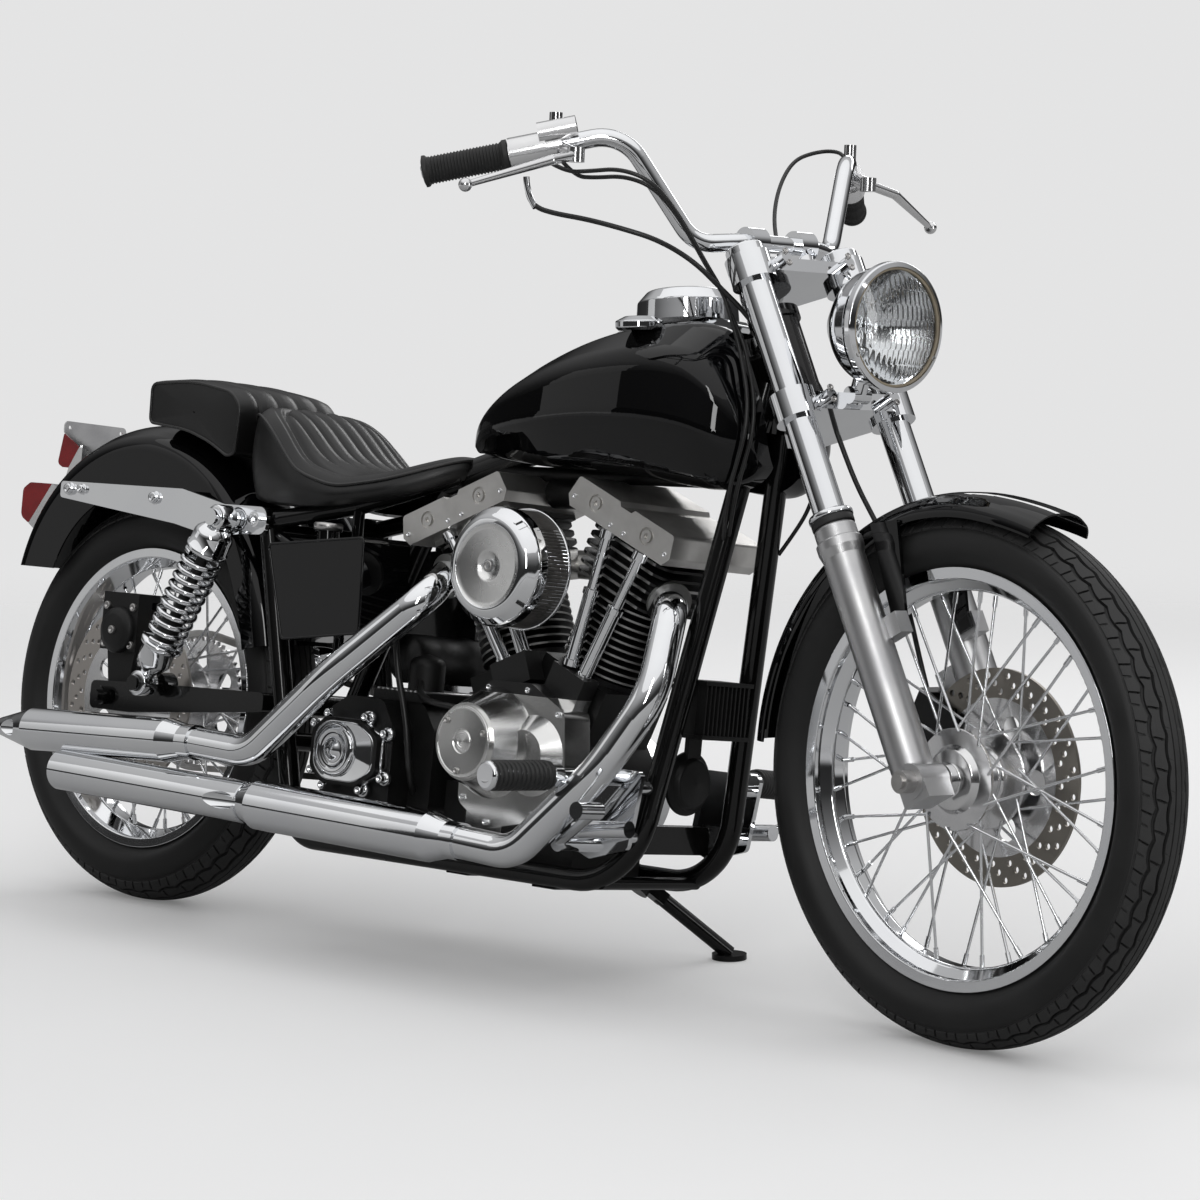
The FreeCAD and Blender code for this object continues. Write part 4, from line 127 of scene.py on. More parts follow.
def makeSurfaceGroup():
    # patchy polish: slow noise moves the roughness and tone, quick noise gives a fine bump
    group, ins, outs = newGroup(
        "handledSurface",
        [("Tone", "NodeSocketColor", (0.5, 0.5, 0.5, 1)),
         ("Patch Tone", "NodeSocketColor", (0.5, 0.5, 0.5, 1)),
         ("Roughness", "NodeSocketFloat", 0.3), ("Patch Roughness", "NodeSocketFloat", 0.4),
         ("Patch Scale", "NodeSocketFloat", 12.0), ("Grain Scale", "NodeSocketFloat", 900.0),
         ("Grain Depth", "NodeSocketFloat", 0.1)],
        [("Color", "NodeSocketColor"), ("Roughness", "NodeSocketFloat"), ("Normal", "NodeSocketVector")])
    given = ins.outputs
    place = wire(group, "ShaderNodeTexCoord").outputs["Object"]
    slow = wire(group, "ShaderNodeTexNoise",
                {"Vector": place, "Scale": given["Patch Scale"], "Detail": 4.0}).outputs["Fac"]
    soft = wire(group, "ShaderNodeMapRange",
                {"Value": slow, "From Min": 0.35, "From Max": 0.7}).outputs["Result"]
    tone = wire(group, "ShaderNodeMix",
                {"Factor": soft, "A": given["Tone"], "B": given["Patch Tone"]}, data_type="RGBA")
    rough = wire(group, "ShaderNodeMapRange",
                 {"Value": soft, "To Min": given["Roughness"], "To Max": given["Patch Roughness"]})
    quick = wire(group, "ShaderNodeTexNoise",
                 {"Vector": place, "Scale": given["Grain Scale"], "Detail": 3.0}).outputs["Fac"]
    bump = wire(group, "ShaderNodeBump",
                {"Height": quick, "Strength": given["Grain Depth"], "Distance": 0.0004})
    group.links.new(tone.outputs["Result"], outs.inputs["Color"])
    group.links.new(rough.outputs["Result"], outs.inputs["Roughness"])
    group.links.new(bump.outputs["Normal"], outs.inputs["Normal"])
    return group


handledSurface = makeSurfaceGroup()


def makeFinish(name, tones, rough, metal=0.0, patch=12.0, grain=900.0, depth=0.1, coat=0.0,
               coatRough=0.03, specular=0.5):
    # colour and roughness run from their first value to their second in slow patches
    material = bpy.data.materials.new(name)
    material.use_nodes = True
    tree = material.node_tree
    shader = tree.nodes["Principled BSDF"]
    surface = tree.nodes.new("ShaderNodeGroup")
    surface.node_tree = handledSurface
    values = {"Tone": (*tones[0], 1), "Patch Tone": (*tones[1], 1), "Roughness": rough[0],
              "Patch Roughness": rough[1], "Patch Scale": patch, "Grain Scale": grain, "Grain Depth": depth}
    for key, value in values.items():
        surface.inputs[key].default_value = value
    for source, target in (("Color", "Base Color"), ("Roughness", "Roughness"), ("Normal", "Normal")):
        tree.links.new(surface.outputs[source], shader.inputs[target])
    settings = {"Metallic": metal, "Coat Weight": coat, "Coat Roughness": coatRough,
                "Specular IOR Level": specular}
    for key, value in settings.items():
        shader.inputs[key].default_value = value
    return material


# Metals
alloyLook = dict(tones=((0.80, 0.80, 0.80), (0.72, 0.72, 0.73)), rough=(0.14, 0.22), metal=1.0,
                 patch=14, grain=1200, depth=0.04)
chrome = makeFinish("polishedChrome", ((0.86, 0.87, 0.88), (0.82, 0.83, 0.85)), (0.035, 0.07), metal=1.0,
                    patch=9, grain=1400, depth=0.01)
polishedAlloy = makeFinish("polishedAlloy", **alloyLook)
satinAlloy = makeFinish("satinAlloy", ((0.62, 0.62, 0.62), (0.56, 0.56, 0.57)), (0.34, 0.42), metal=1.0,
                        patch=16, grain=1100, depth=0.08)
castAlloy = makeFinish("castAlloy", ((0.74, 0.73, 0.71), (0.60, 0.59, 0.57)), (0.34, 0.44), metal=0.95,
                       patch=20, grain=1500, depth=0.3)
dishAlloy = makeFinish("dishAlloy", ((0.88, 0.88, 0.87), (0.78, 0.78, 0.77)), (0.24, 0.3), metal=1.0,
                       patch=20, grain=1600, depth=0.06)
turnedAlloy = makeFinish("turnedAlloy", ((0.84, 0.84, 0.83), (0.76, 0.76, 0.75)), (0.22, 0.28), metal=1.0,
                         patch=26, grain=1400, depth=0.05)
steel = makeFinish("plainSteel", ((0.55, 0.54, 0.53), (0.42, 0.41, 0.40)), (0.3, 0.42), metal=1.0,
                   patch=24, grain=1200, depth=0.1)
# Paints
engineLook = dict(tones=((0.006, 0.006, 0.006), (0.012, 0.012, 0.012)), rough=(0.36, 0.5), patch=18,
                  grain=1600, depth=0.5, specular=0.32)
engineBlack = makeFinish("engineBlack", **engineLook)
glossBlack = makeFinish("glossBlackPaint", ((0.002, 0.002, 0.0025), (0.003, 0.003, 0.003)), (0.07, 0.1),
                        patch=6, grain=500, depth=0.004, coat=0.85, coatRough=0.02, specular=0.0)
frameBlack = makeFinish("frameBlackPaint", ((0.003, 0.003, 0.003), (0.006, 0.006, 0.006)), (0.2, 0.28),
                        patch=14, grain=700, depth=0.04, coat=0.6, coatRough=0.06, specular=0.1)
# Rubber and leather
blackRubber = makeFinish("blackRubber", ((0.010, 0.010, 0.010), (0.018, 0.018, 0.018)), (0.46, 0.58),
                         patch=22, grain=900, depth=0.2)
tyreRubber = makeFinish("tyreRubber", ((0.012, 0.012, 0.012), (0.020, 0.020, 0.020)), (0.5, 0.62),
                        patch=10, grain=800, depth=0.2, specular=0.35)
treadRubber = makeFinish("treadRubber", ((0.020, 0.020, 0.020), (0.034, 0.034, 0.034)), (0.56, 0.7),
                         patch=26, grain=700, depth=0.35)
hoseRubber = makeFinish("hoseRubber", ((0.012, 0.012, 0.012), (0.020, 0.020, 0.020)), (0.3, 0.4),
                        patch=30, grain=900, depth=0.08)
seatLeather = makeFinish("seatLeather", ((0.007, 0.007, 0.007), (0.013, 0.013, 0.013)), (0.3, 0.4),
                         patch=16, grain=650, depth=0.3, specular=0.42)
pipingLeather = makeFinish("pipingLeather", ((0.016, 0.016, 0.016), (0.024, 0.024, 0.024)), (0.26, 0.36),
                           patch=30, grain=650, depth=0.2)
# Gasket, filter and lens
paleGasket = makeFinish("paleGasket", ((0.34, 0.29, 0.21), (0.26, 0.22, 0.16)), (0.5, 0.62),
                        patch=30, grain=700, depth=0.1)
filterPaper = makeFinish("filterPaper", ((0.09, 0.085, 0.08), (0.05, 0.048, 0.045)), (0.7, 0.82),
                         patch=40, grain=900, depth=0.3)
redLens = makeFinish("redLens", ((0.26, 0.002, 0.004), (0.18, 0.001, 0.003)), (0.1, 0.14),
                     patch=30, grain=300, depth=0.02, coat=0.4, coatRough=0.02, specular=0.2)


def makeGlass(name, tone, rough, clear):
    # thin clear glass with faint waves, so lamps and reflectors show through it
    material = bpy.data.materials.new(name)
    material.use_nodes = True
    tree = material.node_tree
    shader = tree.nodes["Principled BSDF"]
    place = wire(tree, "ShaderNodeTexCoord").outputs["Object"]
    noise = wire(tree, "ShaderNodeTexNoise", {"Vector": place, "Scale": 220.0, "Detail": 2.0}).outputs["Fac"]
    bump = wire(tree, "ShaderNodeBump", {"Height": noise, "Strength": 0.04, "Distance": 0.0005})
    tree.links.new(bump.outputs["Normal"], shader.inputs["Normal"])
    settings = {"Base Color": (*tone, 1), "Roughness": rough, "Transmission Weight": clear, "IOR": 1.45}
    for key, value in settings.items():
        shader.inputs[key].default_value = value
    return material


lampGlass = makeGlass("lampGlass", (0.96, 0.97, 0.97), 0.03, 1.0)


# Second tones inside one CAD node, told apart by distance from a place or an axis
def fromPlace(tree, place):
    here = wire(tree, "ShaderNodeTexCoord").outputs["Object"]
    return wire(tree, "ShaderNodeVectorMath", {0: here, 1: tuple(place)}, operation="SUBTRACT").outputs[0]


def alongAxis(tree, vector, axis):
    # the vector's reach along the axis
    node = wire(tree, "ShaderNodeVectorMath", {0: vector, 1: tuple(axis)}, operation="DOT_PRODUCT")
    return node.outputs["Value"]


def fromAxis(tree, vector, axis):
    # the vector's length once its reach along the axis is taken away
    reach = wire(tree, "ShaderNodeVectorMath", {0: tuple(axis), "Scale": alongAxis(tree, vector, axis)},
                 operation="SCALE").outputs[0]
    away = wire(tree, "ShaderNodeVectorMath", {0: vector, 1: reach}, operation="SUBTRACT").outputs[0]
    return wire(tree, "ShaderNodeVectorMath", {0: away}, operation="LENGTH").outputs["Value"]


def calc(tree, operation, first, second=0.0):
    # one sum with node values
    return wire(tree, "ShaderNodeMath", {0: first, 1: second}, operation=operation).outputs[0]


def pastEdge(tree, value, low, high):
    # 0 up to the low edge and 1 past the high one, in millimetres
    limits = {"Value": value, "From Min": low / 1000, "From Max": high / 1000}
    return wire(tree, "ShaderNodeMapRange", limits).outputs["Result"]


def secondTone(material, mask, tone, rough, metal):
    # colour, roughness and metal go over to the second ones where the mask is 1
    tree, shader = material.node_tree, material.node_tree.nodes["Principled BSDF"]
    before = {"Base Color": shader.inputs["Base Color"].links[0].from_socket,
              "Roughness": shader.inputs["Roughness"].links[0].from_socket,
              "Metallic": shader.inputs["Metallic"].default_value}
    colour = wire(tree, "ShaderNodeMix", {"Factor": mask, "A": before["Base Color"], "B": (*tone, 1)},
                  data_type="RGBA")
    tree.links.new(colour.outputs["Result"], shader.inputs["Base Color"])
    for key, value in (("Roughness", rough), ("Metallic", metal)):
        blend = wire(tree, "ShaderNodeMapRange", {"Value": mask, "To Min": before[key], "To Max": value})
        tree.links.new(blend.outputs["Result"], shader.inputs[key])
    return material


# Engine: both banks lean from the crank; paint goes over to bare metal between rim[0] and rim[1] inside
# the edges of the fins
engine = dict(crank=(871.5, 0, 265), bank=22.5, headTop=406.0, tappetTop=402.0)
fins = dict(barrel=72.0, headX=84.0, headY=72.0, headFoot=318.0, rim=(0.7, 0.4),
            bare=dict(tone=(0.42, 0.42, 0.41), rough=0.34, metal=0.9))
# Brake discs beyond a radius on polished hubs, each in its own tone, the front one darker than the rear
discs = dict(edge=(105.5, 106.5), rough=0.36, front=(0.30, 0.28, 0.25), rear=(0.52, 0.49, 0.46))


def makeCamFinish():
    # black tappet blocks above the polished cam cover
    material = makeFinish("camCoverAlloy", ((0.82, 0.82, 0.81), (0.74, 0.74, 0.73)), (0.16, 0.24),
                          metal=1.0, patch=14, grain=1200, depth=0.04)
    tree = material.node_tree
    height = alongAxis(tree, fromPlace(tree, toRow((0, 0, engine["tappetTop"]))), turnRow((0, 0, 1)))
    return secondTone(material, pastEdge(tree, height, 0, 0.4), (0.008, 0.008, 0.008), 0.4, 0.0)


def makeFinFinish(side):
    # bare rims: by radius on the barrel, by the larger of both widths on the head
    name = "cylinderBlack" + ("Front" if side > 0 else "Rear")
    material = makeFinish(name, **dict(engineLook, depth=0.4))
    tree, lean = material.node_tree, math.radians(engine["bank"] * side)
    up = turnRow((math.sin(lean), 0, math.cos(lean)))
    fore = turnRow((math.cos(lean), 0, -math.sin(lean)))
    vector = fromPlace(tree, toRow(engine["crank"]))

    def rim(distance, edge):
        return pastEdge(tree, distance, edge - fins["rim"][0], edge - fins["rim"][1])

    isHead = pastEdge(tree, alongAxis(tree, vector, up), fins["headFoot"], fins["headFoot"] + 0.5)
    barrelRim = rim(fromAxis(tree, vector, up), fins["barrel"])
    rimX = rim(calc(tree, "ABSOLUTE", alongAxis(tree, vector, fore)), fins["headX"])
    rimY = rim(calc(tree, "ABSOLUTE", alongAxis(tree, vector, turnRow((0, 1, 0)))), fins["headY"])
    head = calc(tree, "MULTIPLY", calc(tree, "MAXIMUM", rimX, rimY), isHead)
    barrel = calc(tree, "MULTIPLY", barrelRim, calc(tree, "SUBTRACT", 1.0, isHead))
    return secondTone(material, calc(tree, "ADD", head, barrel), **fins["bare"])


def makeHubFinish(end):
    # the disc's tone beyond a distance from the axle
    material = makeFinish(end + "HubAlloy", **alloyLook)
    tree, axle = material.node_tree, joints[end + "_wheel_spin"]
    distance = fromAxis(tree, fromPlace(tree, axle["pos_m"]), axle["axis"])
    return secondTone(material, pastEdge(tree, distance, *discs["edge"]), discs[end], discs["rough"], 1.0)


print("finishes made")

# Which CAD nodes wear which finish; the rest are frame black
nodeFinishes = [
    (frameBlack, "frame swingarm battery_box side_stand"),
    (engineBlack, "crankcase gearbox regulator horn front_caliper rear_caliper"),
    (makeCamFinish(), "cam_cover"),
    (makeFinFinish(1), "cylinder_front"),
    (makeFinFinish(-1), "cylinder_rear"),
    (castAlloy, "rocker_box_front rocker_box_rear carburettor"),
    (chrome, "pushrod_tubes air_cleaner primary_cover exhaust_front exhaust_rear tank_console fender_struts "
             "shocks foot_controls fork_trees fork_tubes handlebar headlamp_shell headlamp_reflector "
             "front_rim rear_rim front_spokes rear_spokes"),
    (glossBlack, "tank_left tank_right rear_fender front_fender oil_tank"),
    (seatLeather, "seat pillion"),
    (tyreRubber, "front_tyre rear_tyre"),
    (blackRubber, "grips"),
    (redLens, "tail_lamp"),
    (polishedAlloy, "tail_bracket hand_controls"),
    (satinAlloy, "fork_sliders headlamp_lens"),
    (steel, "drive_chain front_axle"),
    (makeHubFinish("front"), "front_hub"),
    (makeHubFinish("rear"), "rear_hub")]
finishOf = {name: finish for finish, names in nodeFinishes for name in names.split()}
for name, node in nodes.items():
    node.data.materials.clear()
    node.data.materials.append(finishOf.get(name, frameBlack))
print("CAD nodes painted")


# Meshes: points in the bike frame, faces as quads; parts join before they become a piece
def gridFaces(rows, columns, closeRows=False, closeColumns=False):
    # one quad to each cell of a grid of points, wrapped round where a direction is closed
    i, j = np.meshgrid(np.arange(rows - (not closeRows)), np.arange(columns - (not closeColumns)),
                       indexing="ij")
    nextRow, nextColumn = (i + 1) % rows, (j + 1) % columns
    return np.stack([i * columns + j, nextRow * columns + j, nextRow * columns + nextColumn,
                     i * columns + nextColumn], -1).reshape(-1, 4)


def sheet(points, closeRows=False, closeColumns=False, flip=False):
    # a surface through a grid of points; flip turns its faces over
    rows, columns = points.shape[:2]
    faces = gridFaces(rows, columns, closeRows, closeColumns)
    return points.reshape(-1, 3), faces[:, ::-1] if flip else faces


def join(parts):
    # points one after another, and each part's faces counted on from its first point
    starts = np.cumsum([0] + [len(points) for points, faces in parts])
    return (np.concatenate([points for points, faces in parts]),
            np.concatenate([faces + start for (points, faces), start in zip(parts, starts)]))


def addPiece(name, part, finish, body=None, turned=False, replaces=()):
    # a mesh in the row's metres from points in bike millimetres
    mesh = bpy.data.meshes.new(name)
    mesh.from_pydata(toRow(part[0], turned).tolist(), [], part[1].tolist())
    mesh.polygons.foreach_set("use_smooth", [True] * len(mesh.polygons))
    mesh.materials.append(finish)
    mesh.validate()
    return placePiece(name, mesh, body, replaces)


def placePiece(name, mesh, body, replaces=()):
    piece = bpy.data.objects.new(name, mesh)
    bpy.context.scene.collection.objects.link(piece)
    if body:
        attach(piece, body)
    if replaces:
        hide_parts(*replaces)
    return piece


def unitVector(v):
    v = np.asarray(v, float)
    return v / np.linalg.norm(v)


def sideAxes(axis):
    # two directions square to one
    axis = unitVector(axis)
    first = unitVector(np.cross(axis, (0, 0, 1) if abs(axis[2]) < 0.9 else (0, 1, 0)))
    return first, np.cross(axis, first)


def lathe(profile, origin, axis, count=96, closed=False):
    # a profile of (radius, distance) turned about an axis: distance along it, radius round it
    profile = np.array(profile, float)
    first, second = sideAxes(axis)
    turn = np.linspace(0, 2 * np.pi, count, endpoint=False)
    ring = np.cos(turn)[:, None] * first + np.sin(turn)[:, None] * second
    points = (np.asarray(origin, float) + profile[:, 1, None, None] * unitVector(axis)
              + profile[:, 0, None, None] * ring[None])
    return sheet(points, closed, True)


def capScrew(origin, axis, across, height, socket):
    # a round head with a chamfered top and a sunk middle
    rounds = [(across * 0.5, 0), (across * 0.5, height * 0.86), (across * 0.45, height), (socket, height),
              (socket, height * 0.3), (0.01, height * 0.3)]
    return lathe(rounds, origin, axis, 24)


def roundBar(start, end, radius, count=20):
    # a bar between two points, its ends eased
    start, end = np.asarray(start, float), np.asarray(end, float)
    length = np.linalg.norm(end - start)
    profile = [(0.01, 0), (radius * 0.8, 0), (radius, radius * 0.3), (radius, length - radius * 0.3),
               (radius * 0.8, length), (0.01, length)]
    return lathe(profile, start, end - start, count)


def wireLoop(path, radius, closed=True, count=10):
    # a round bead along a path of points
    path = np.asarray(path, float)
    step = np.roll(path, -1, 0) - np.roll(path, 1, 0) if closed else np.gradient(path, axis=0)
    tangent = step / np.linalg.norm(step, axis=1)[:, None]
    guide = np.array([0.31, 0.52, 0.79])
    first = np.cross(tangent, guide)
    first /= np.linalg.norm(first, axis=1)[:, None]
    second = np.cross(tangent, first)
    turn = np.linspace(0, 2 * np.pi, count, endpoint=False)
    points = path[:, None] + radius * (np.cos(turn)[None, :, None] * first[:, None]
                                       + np.sin(turn)[None, :, None] * second[:, None])
    return sheet(points, closed, True)


def smoothStep(x, low, high):
    # 0 below low, 1 above high, and an even S between them
    t = np.clip((x - low) / (high - low), 0, 1)
    return t * t * (3 - 2 * t)


def groove(x, width):
    # a bell curve, 1 in the middle
    return np.exp(-(x / width) ** 2)


def softTable(xs, ys, spread):
    # a smoothed curve through stations, as a function
    fine = np.linspace(xs[0] - 3 * spread, xs[-1] + 3 * spread, 600)
    raw = np.interp(fine, xs, ys)
    kernel = np.exp(-(np.arange(-60, 61) * (fine[1] - fine[0]) / spread) ** 2)
    padded = np.concatenate([np.full(60, raw[0]), raw, np.full(60, raw[-1])])
    soft = np.convolve(padded, kernel / kernel.sum(), "valid")
    return lambda x: np.interp(x, fine, soft)


# Cables and hoses: route points in the bike frame, the fork's own where it is turned
hoseRadius, cableRadius, lineRadius = 3.6, 3.0, 5.0
forkRoutes = dict(
    brakeHose=[(1023, -318, 1140), (1024, -317, 1116), (1038, -312, 1098), (1066, -301, 1090),
               (1110, -281, 1083), (1152, -255, 1072), (1188, -217, 1058), (1207, -168, 1032),
               (1211, -120, 998), (1222, -82, 966), (1239, -60, 930), (1256, -55, 896), (1270, -56, 868),
               (1278, -56, 848)],
    caliperHose=[(1308, 18, 810), (1322, 27, 770), (1337, 38, 730), (1354, 52, 692), (1372, 64, 655),
                 (1392, 69, 617), (1410, 70, 575), (1428, 69, 531), (1447, 67, 487), (1467, 66, 442)],
    throttleCable=[(1036, -297, 1165), (1074, -292, 1147), (1115, -282, 1148), (1154, -262, 1152),
                   (1187, -235, 1138), (1200, -205, 1106), (1206, -175, 1067), (1200, -140, 1032),
                   (1204, -110, 995), (1211, -104, 970)],
    idleCable=[(1049, -282, 1168), (1077, -277, 1142), (1112, -270, 1140), (1150, -250, 1143),
               (1181, -225, 1130), (1193, -195, 1099), (1198, -165, 1062), (1191, -130, 1028),
               (1195, -100, 991), (1203, -94, 969)],
    clutchCable=[(1034, 289, 1201), (1014, 296, 1219), (985, 297, 1225), (964, 281, 1221), (962, 248, 1209),
                 (976, 213, 1184), (998, 178, 1149), (1027, 147, 1112), (1068, 117, 1074), (1112, 86, 1038),
                 (1146, 62, 997)])
chassisRoutes = dict(
    throttleCable=[(1208, -89, 914), (1222, -92, 882), (1239, -98, 846), (1248, -105, 802), (1240, -106, 761),
                   (1228, -102, 727), (1214, -90, 698), (1200, -75, 672), (1188, -60, 646)],
    idleCable=[(1207, -77, 918), (1222, -80, 884), (1240, -86, 848), (1250, -92, 803), (1242, -93, 761),
               (1230, -89, 725), (1216, -78, 696), (1202, -64, 670), (1190, -52, 646)],
    clutchCable=[(1166, 41, 938), (1184, 44, 903), (1204, 47, 865), (1229, 47, 822), (1252, 48, 780),
                 (1255, 52, 738), (1240, 58, 700), (1216, 62, 667), (1192, 60, 634)],
    oilLine=[(598, -116, 500), (616, -117, 491), (626, -118, 466), (633, -118, 436), (641, -118, 405),
             (652, -116, 372), (661, -114, 338), (667, -113, 304), (669, -108, 272), (664, -94, 248),
             (656, -78, 236)],
    breatherHose=[(650, -81, 402), (664, -97, 391), (690, -109, 379), (718, -112, 374), (745, -108, 373),
                  (771, -102, 367), (796, -98, 352)])


def cordPiece(name, points, radius, body=None):
    # one smooth spline through the route's control points, swept round
    data = bpy.data.curves.new(name, "CURVE")
    data.dimensions = "3D"
    spline = data.splines.new("NURBS")
    spline.points.add(len(points) - 1)
    for point, place in zip(spline.points, points):
        point.co = (*place, 1)
    spline.order_u = 3
    spline.use_endpoint_u = True
    spline.resolution_u = 8
    data.bevel_depth, data.bevel_resolution, data.use_fill_caps = radius / 1000, 5, True
    helper = bpy.data.objects.new(name + "Path", data)
    bpy.context.scene.collection.objects.link(helper)
    bpy.context.view_layer.update()
    mesh = bpy.data.meshes.new_from_object(helper.evaluated_get(bpy.context.evaluated_depsgraph_get()))
    bpy.data.objects.remove(helper)
    mesh.materials.clear()
    mesh.materials.append(hoseRubber)
    mesh.polygons.foreach_set("use_smooth", [True] * len(mesh.polygons))
    return placePiece(name, mesh, body)


def makeCords():
    # three cables cross the steering joint; hoses and lines stay on one body
    for name in ("throttleCable", "idleCable", "clutchCable"):
        onFork, onFrame = toRow(forkRoutes[name], True), toRow(chassisRoutes[name])
        cable = cordPiece(name, np.concatenate([onFork, onFrame]), cableRadius)
        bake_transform(cable)
    brake = cordPiece("brakeHose", toRow(forkRoutes["brakeHose"], True), hoseRadius, "fork")
    cordPiece("caliperHose", toRow(forkRoutes["caliperHose"], True), hoseRadius, "fork")
    oil = cordPiece("oilLine", toRow(chassisRoutes["oilLine"]), lineRadius, "chassis")
    cordPiece("breatherHose", toRow(chassisRoutes["breatherHose"]), lineRadius, "chassis")
    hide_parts("fork_cables")
    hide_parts("chassis_cables")
    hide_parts("gearbox_hoses")
    elbow = np.array(forkRoutes["brakeHose"][:3], float)
    bend = np.linspace(0, 1, 14)[:, None]
    elbow = (1 - bend) ** 2 * elbow[0] + 2 * bend * (1 - bend) * elbow[1] + bend ** 2 * elbow[2]
    addPiece("brakeElbow", wireLoop(elbow, hoseRadius + 0.8, False, 16), chrome, "fork", True)


makeCords()
print("cables and hoses laid")


# Tyres: the outline of each; lines across half the tread as (distance, groove depth); where the rows of
# points stand in one pitch; cross cuts as (depth, place in the pitch, half width, first line, last line)
tyres = dict(
    front=dict(radius=357.0, half=50.0, bead=266.7, flange=280.0, seat=29.0, pitches=56, width=1.0),
    rear=dict(radius=325.0, half=61.0, bead=228.6, flange=241.0, seat=39.0, pitches=46, width=1.2))
treadLines = [(0, 0), (4.2, 0), (4.8, 2.6), (5.9, 2.6), (6.5, 0), (10, 0), (13.4, 0), (14.4, 5.6),
              (17, 5.6), (18, 0), (21, 0), (25, 0), (29, 0), (31.6, 0), (32.6, 5.8), (35.6, 5.8), (36.6, 0),
              (40, 0), (44, 0), (48, 0), (50.5, 0), (51.6, 1.6), (53, 1.6)]
pitchSteps = [0, 0.03, 0.05, 0.10, 0.12, 0.20, 0.30, 0.40, 0.47, 0.49, 0.53, 0.55, 0.64, 0.74, 0.84, 0.93]
crossCuts = [(4.2, 0.075, 0.025, 20, 30), (4.6, 0.51, 0.02, 39, 51), (3.4, 0.075, 0.02, 43, 51),
             (1.8, 0.51, 0.012, 9, 14)]


def tyreOutline(tyre):
    # crown semicircle, bowed sidewall, foot and bead as (radius, half width), from the crown down
    crown, half = tyre["radius"] - tyre["half"], tyre["half"]
    foot, footHalf = tyre["flange"] + 1.5, tyre["seat"]
    turn = np.linspace(0, np.pi / 2, 120)
    top = np.stack([crown + half * np.cos(turn), half * np.sin(turn)], -1)
    # the wall is a parabola through its two ends and the belly between them
    start, end = np.array([(crown, half), (foot, footHalf)])
    belly = np.array([0.5 * (crown + foot), half - 0.3 * (half - footHalf)])
    t = np.linspace(0, 1, 60)[1:, None]
    wall = (1 - t) ** 2 * start + 2 * t * (1 - t) * (2 * belly - 0.5 * (start + end)) + t ** 2 * end
    return np.concatenate([top, wall, [(tyre["bead"] + 3, footHalf - 1)]])


def tyrePart(tyre):
    # rows go round the tyre and columns from one bead over the crown to the other; each point stands on the
    # outline at its distance from the middle, sunk along the outline's normal by the depth of the cuts there
    outline = tyreOutline(tyre)
    run = np.concatenate([[0], np.cumsum(np.linalg.norm(np.diff(outline, axis=0), axis=1))])
    lines = np.array(treadLines, float) * (tyre["width"], 1)
    wallRun = np.linspace(lines[-1, 0] + 2, run[-1], 11)
    half = np.concatenate([lines, np.stack([wallRun, 0 * wallRun], -1)])
    across = np.concatenate([-half[:0:-1, 0], half[:, 0]])
    cut = np.concatenate([half[:0:-1, 1], half[:, 1]])
    turn = (np.arange(tyre["pitches"])[:, None] + np.array(pitchSteps)[None]).reshape(-1)
    phase, line = turn[:, None] % 1, np.abs(across)[None] / tyre["width"]
    side, wall = np.sign(across)[None], line > treadLines[-1][0]
    # both long grooves follow a row of round lobes, half a pitch apart
    lobe = np.abs(np.sin(np.pi * (phase + 0.25 * side)))
    farLobe = np.abs(np.sin(np.pi * (phase + 0.5 + 0.25 * side)))
    nearWindow = np.clip(np.minimum((line - 7) / 6, (27 - line) / 8), 0, 1)
    farWindow = np.clip(np.minimum((line - 25) / 6, (49 - line) / 12), 0, 1)
    shifted = line + 3.4 * (lobe - 0.6) * nearWindow + 4.4 * (farLobe - 0.6) * farWindow
    reach = np.where(wall, np.abs(across)[None] * np.ones_like(phase), shifted * tyre["width"])
    depth = cut[None] * np.ones_like(phase)
    for deep, centre, halfWidth, firstLine, lastLine in crossCuts:
        gate = np.clip(1 - (np.abs(phase - centre) - halfWidth) / 0.012, 0, 1)
        depth = np.maximum(depth, deep * gate * ((line >= firstLine) & (line <= lastLine)))
    radius, offset = np.interp(reach, run, outline[:, 0]), np.interp(reach, run, outline[:, 1])
    aheadRadius = np.interp(reach + 0.5, run, outline[:, 0])
    aheadOffset = np.interp(reach + 0.5, run, outline[:, 1])
    slope = np.stack([aheadOffset - offset, radius - aheadRadius], -1)
    slope /= np.maximum(np.linalg.norm(slope, axis=-1, keepdims=True), 1e-9)
    # two raised rings on the sidewall, 16 mm from its ends
    ridge = 0.7 * groove(np.abs(across) - run[-1] + 16, 1.6)
    ridge = ridge + 0.5 * groove(np.abs(across) - lines[-1, 0] - 16, 1.2)
    radius = radius - slope[..., 0] * (depth - ridge * wall)
    offset = offset - slope[..., 1] * (depth - ridge * wall)
    angle = (turn[:, None] + 0.010 * line * (line < 52)) * 2 * np.pi / tyre["pitches"]
    points = np.stack([radius * np.cos(angle), side * offset, radius * np.sin(angle)], -1)
    points[:, np.abs(across) < 1e-6, 1] = 0
    return points, wall


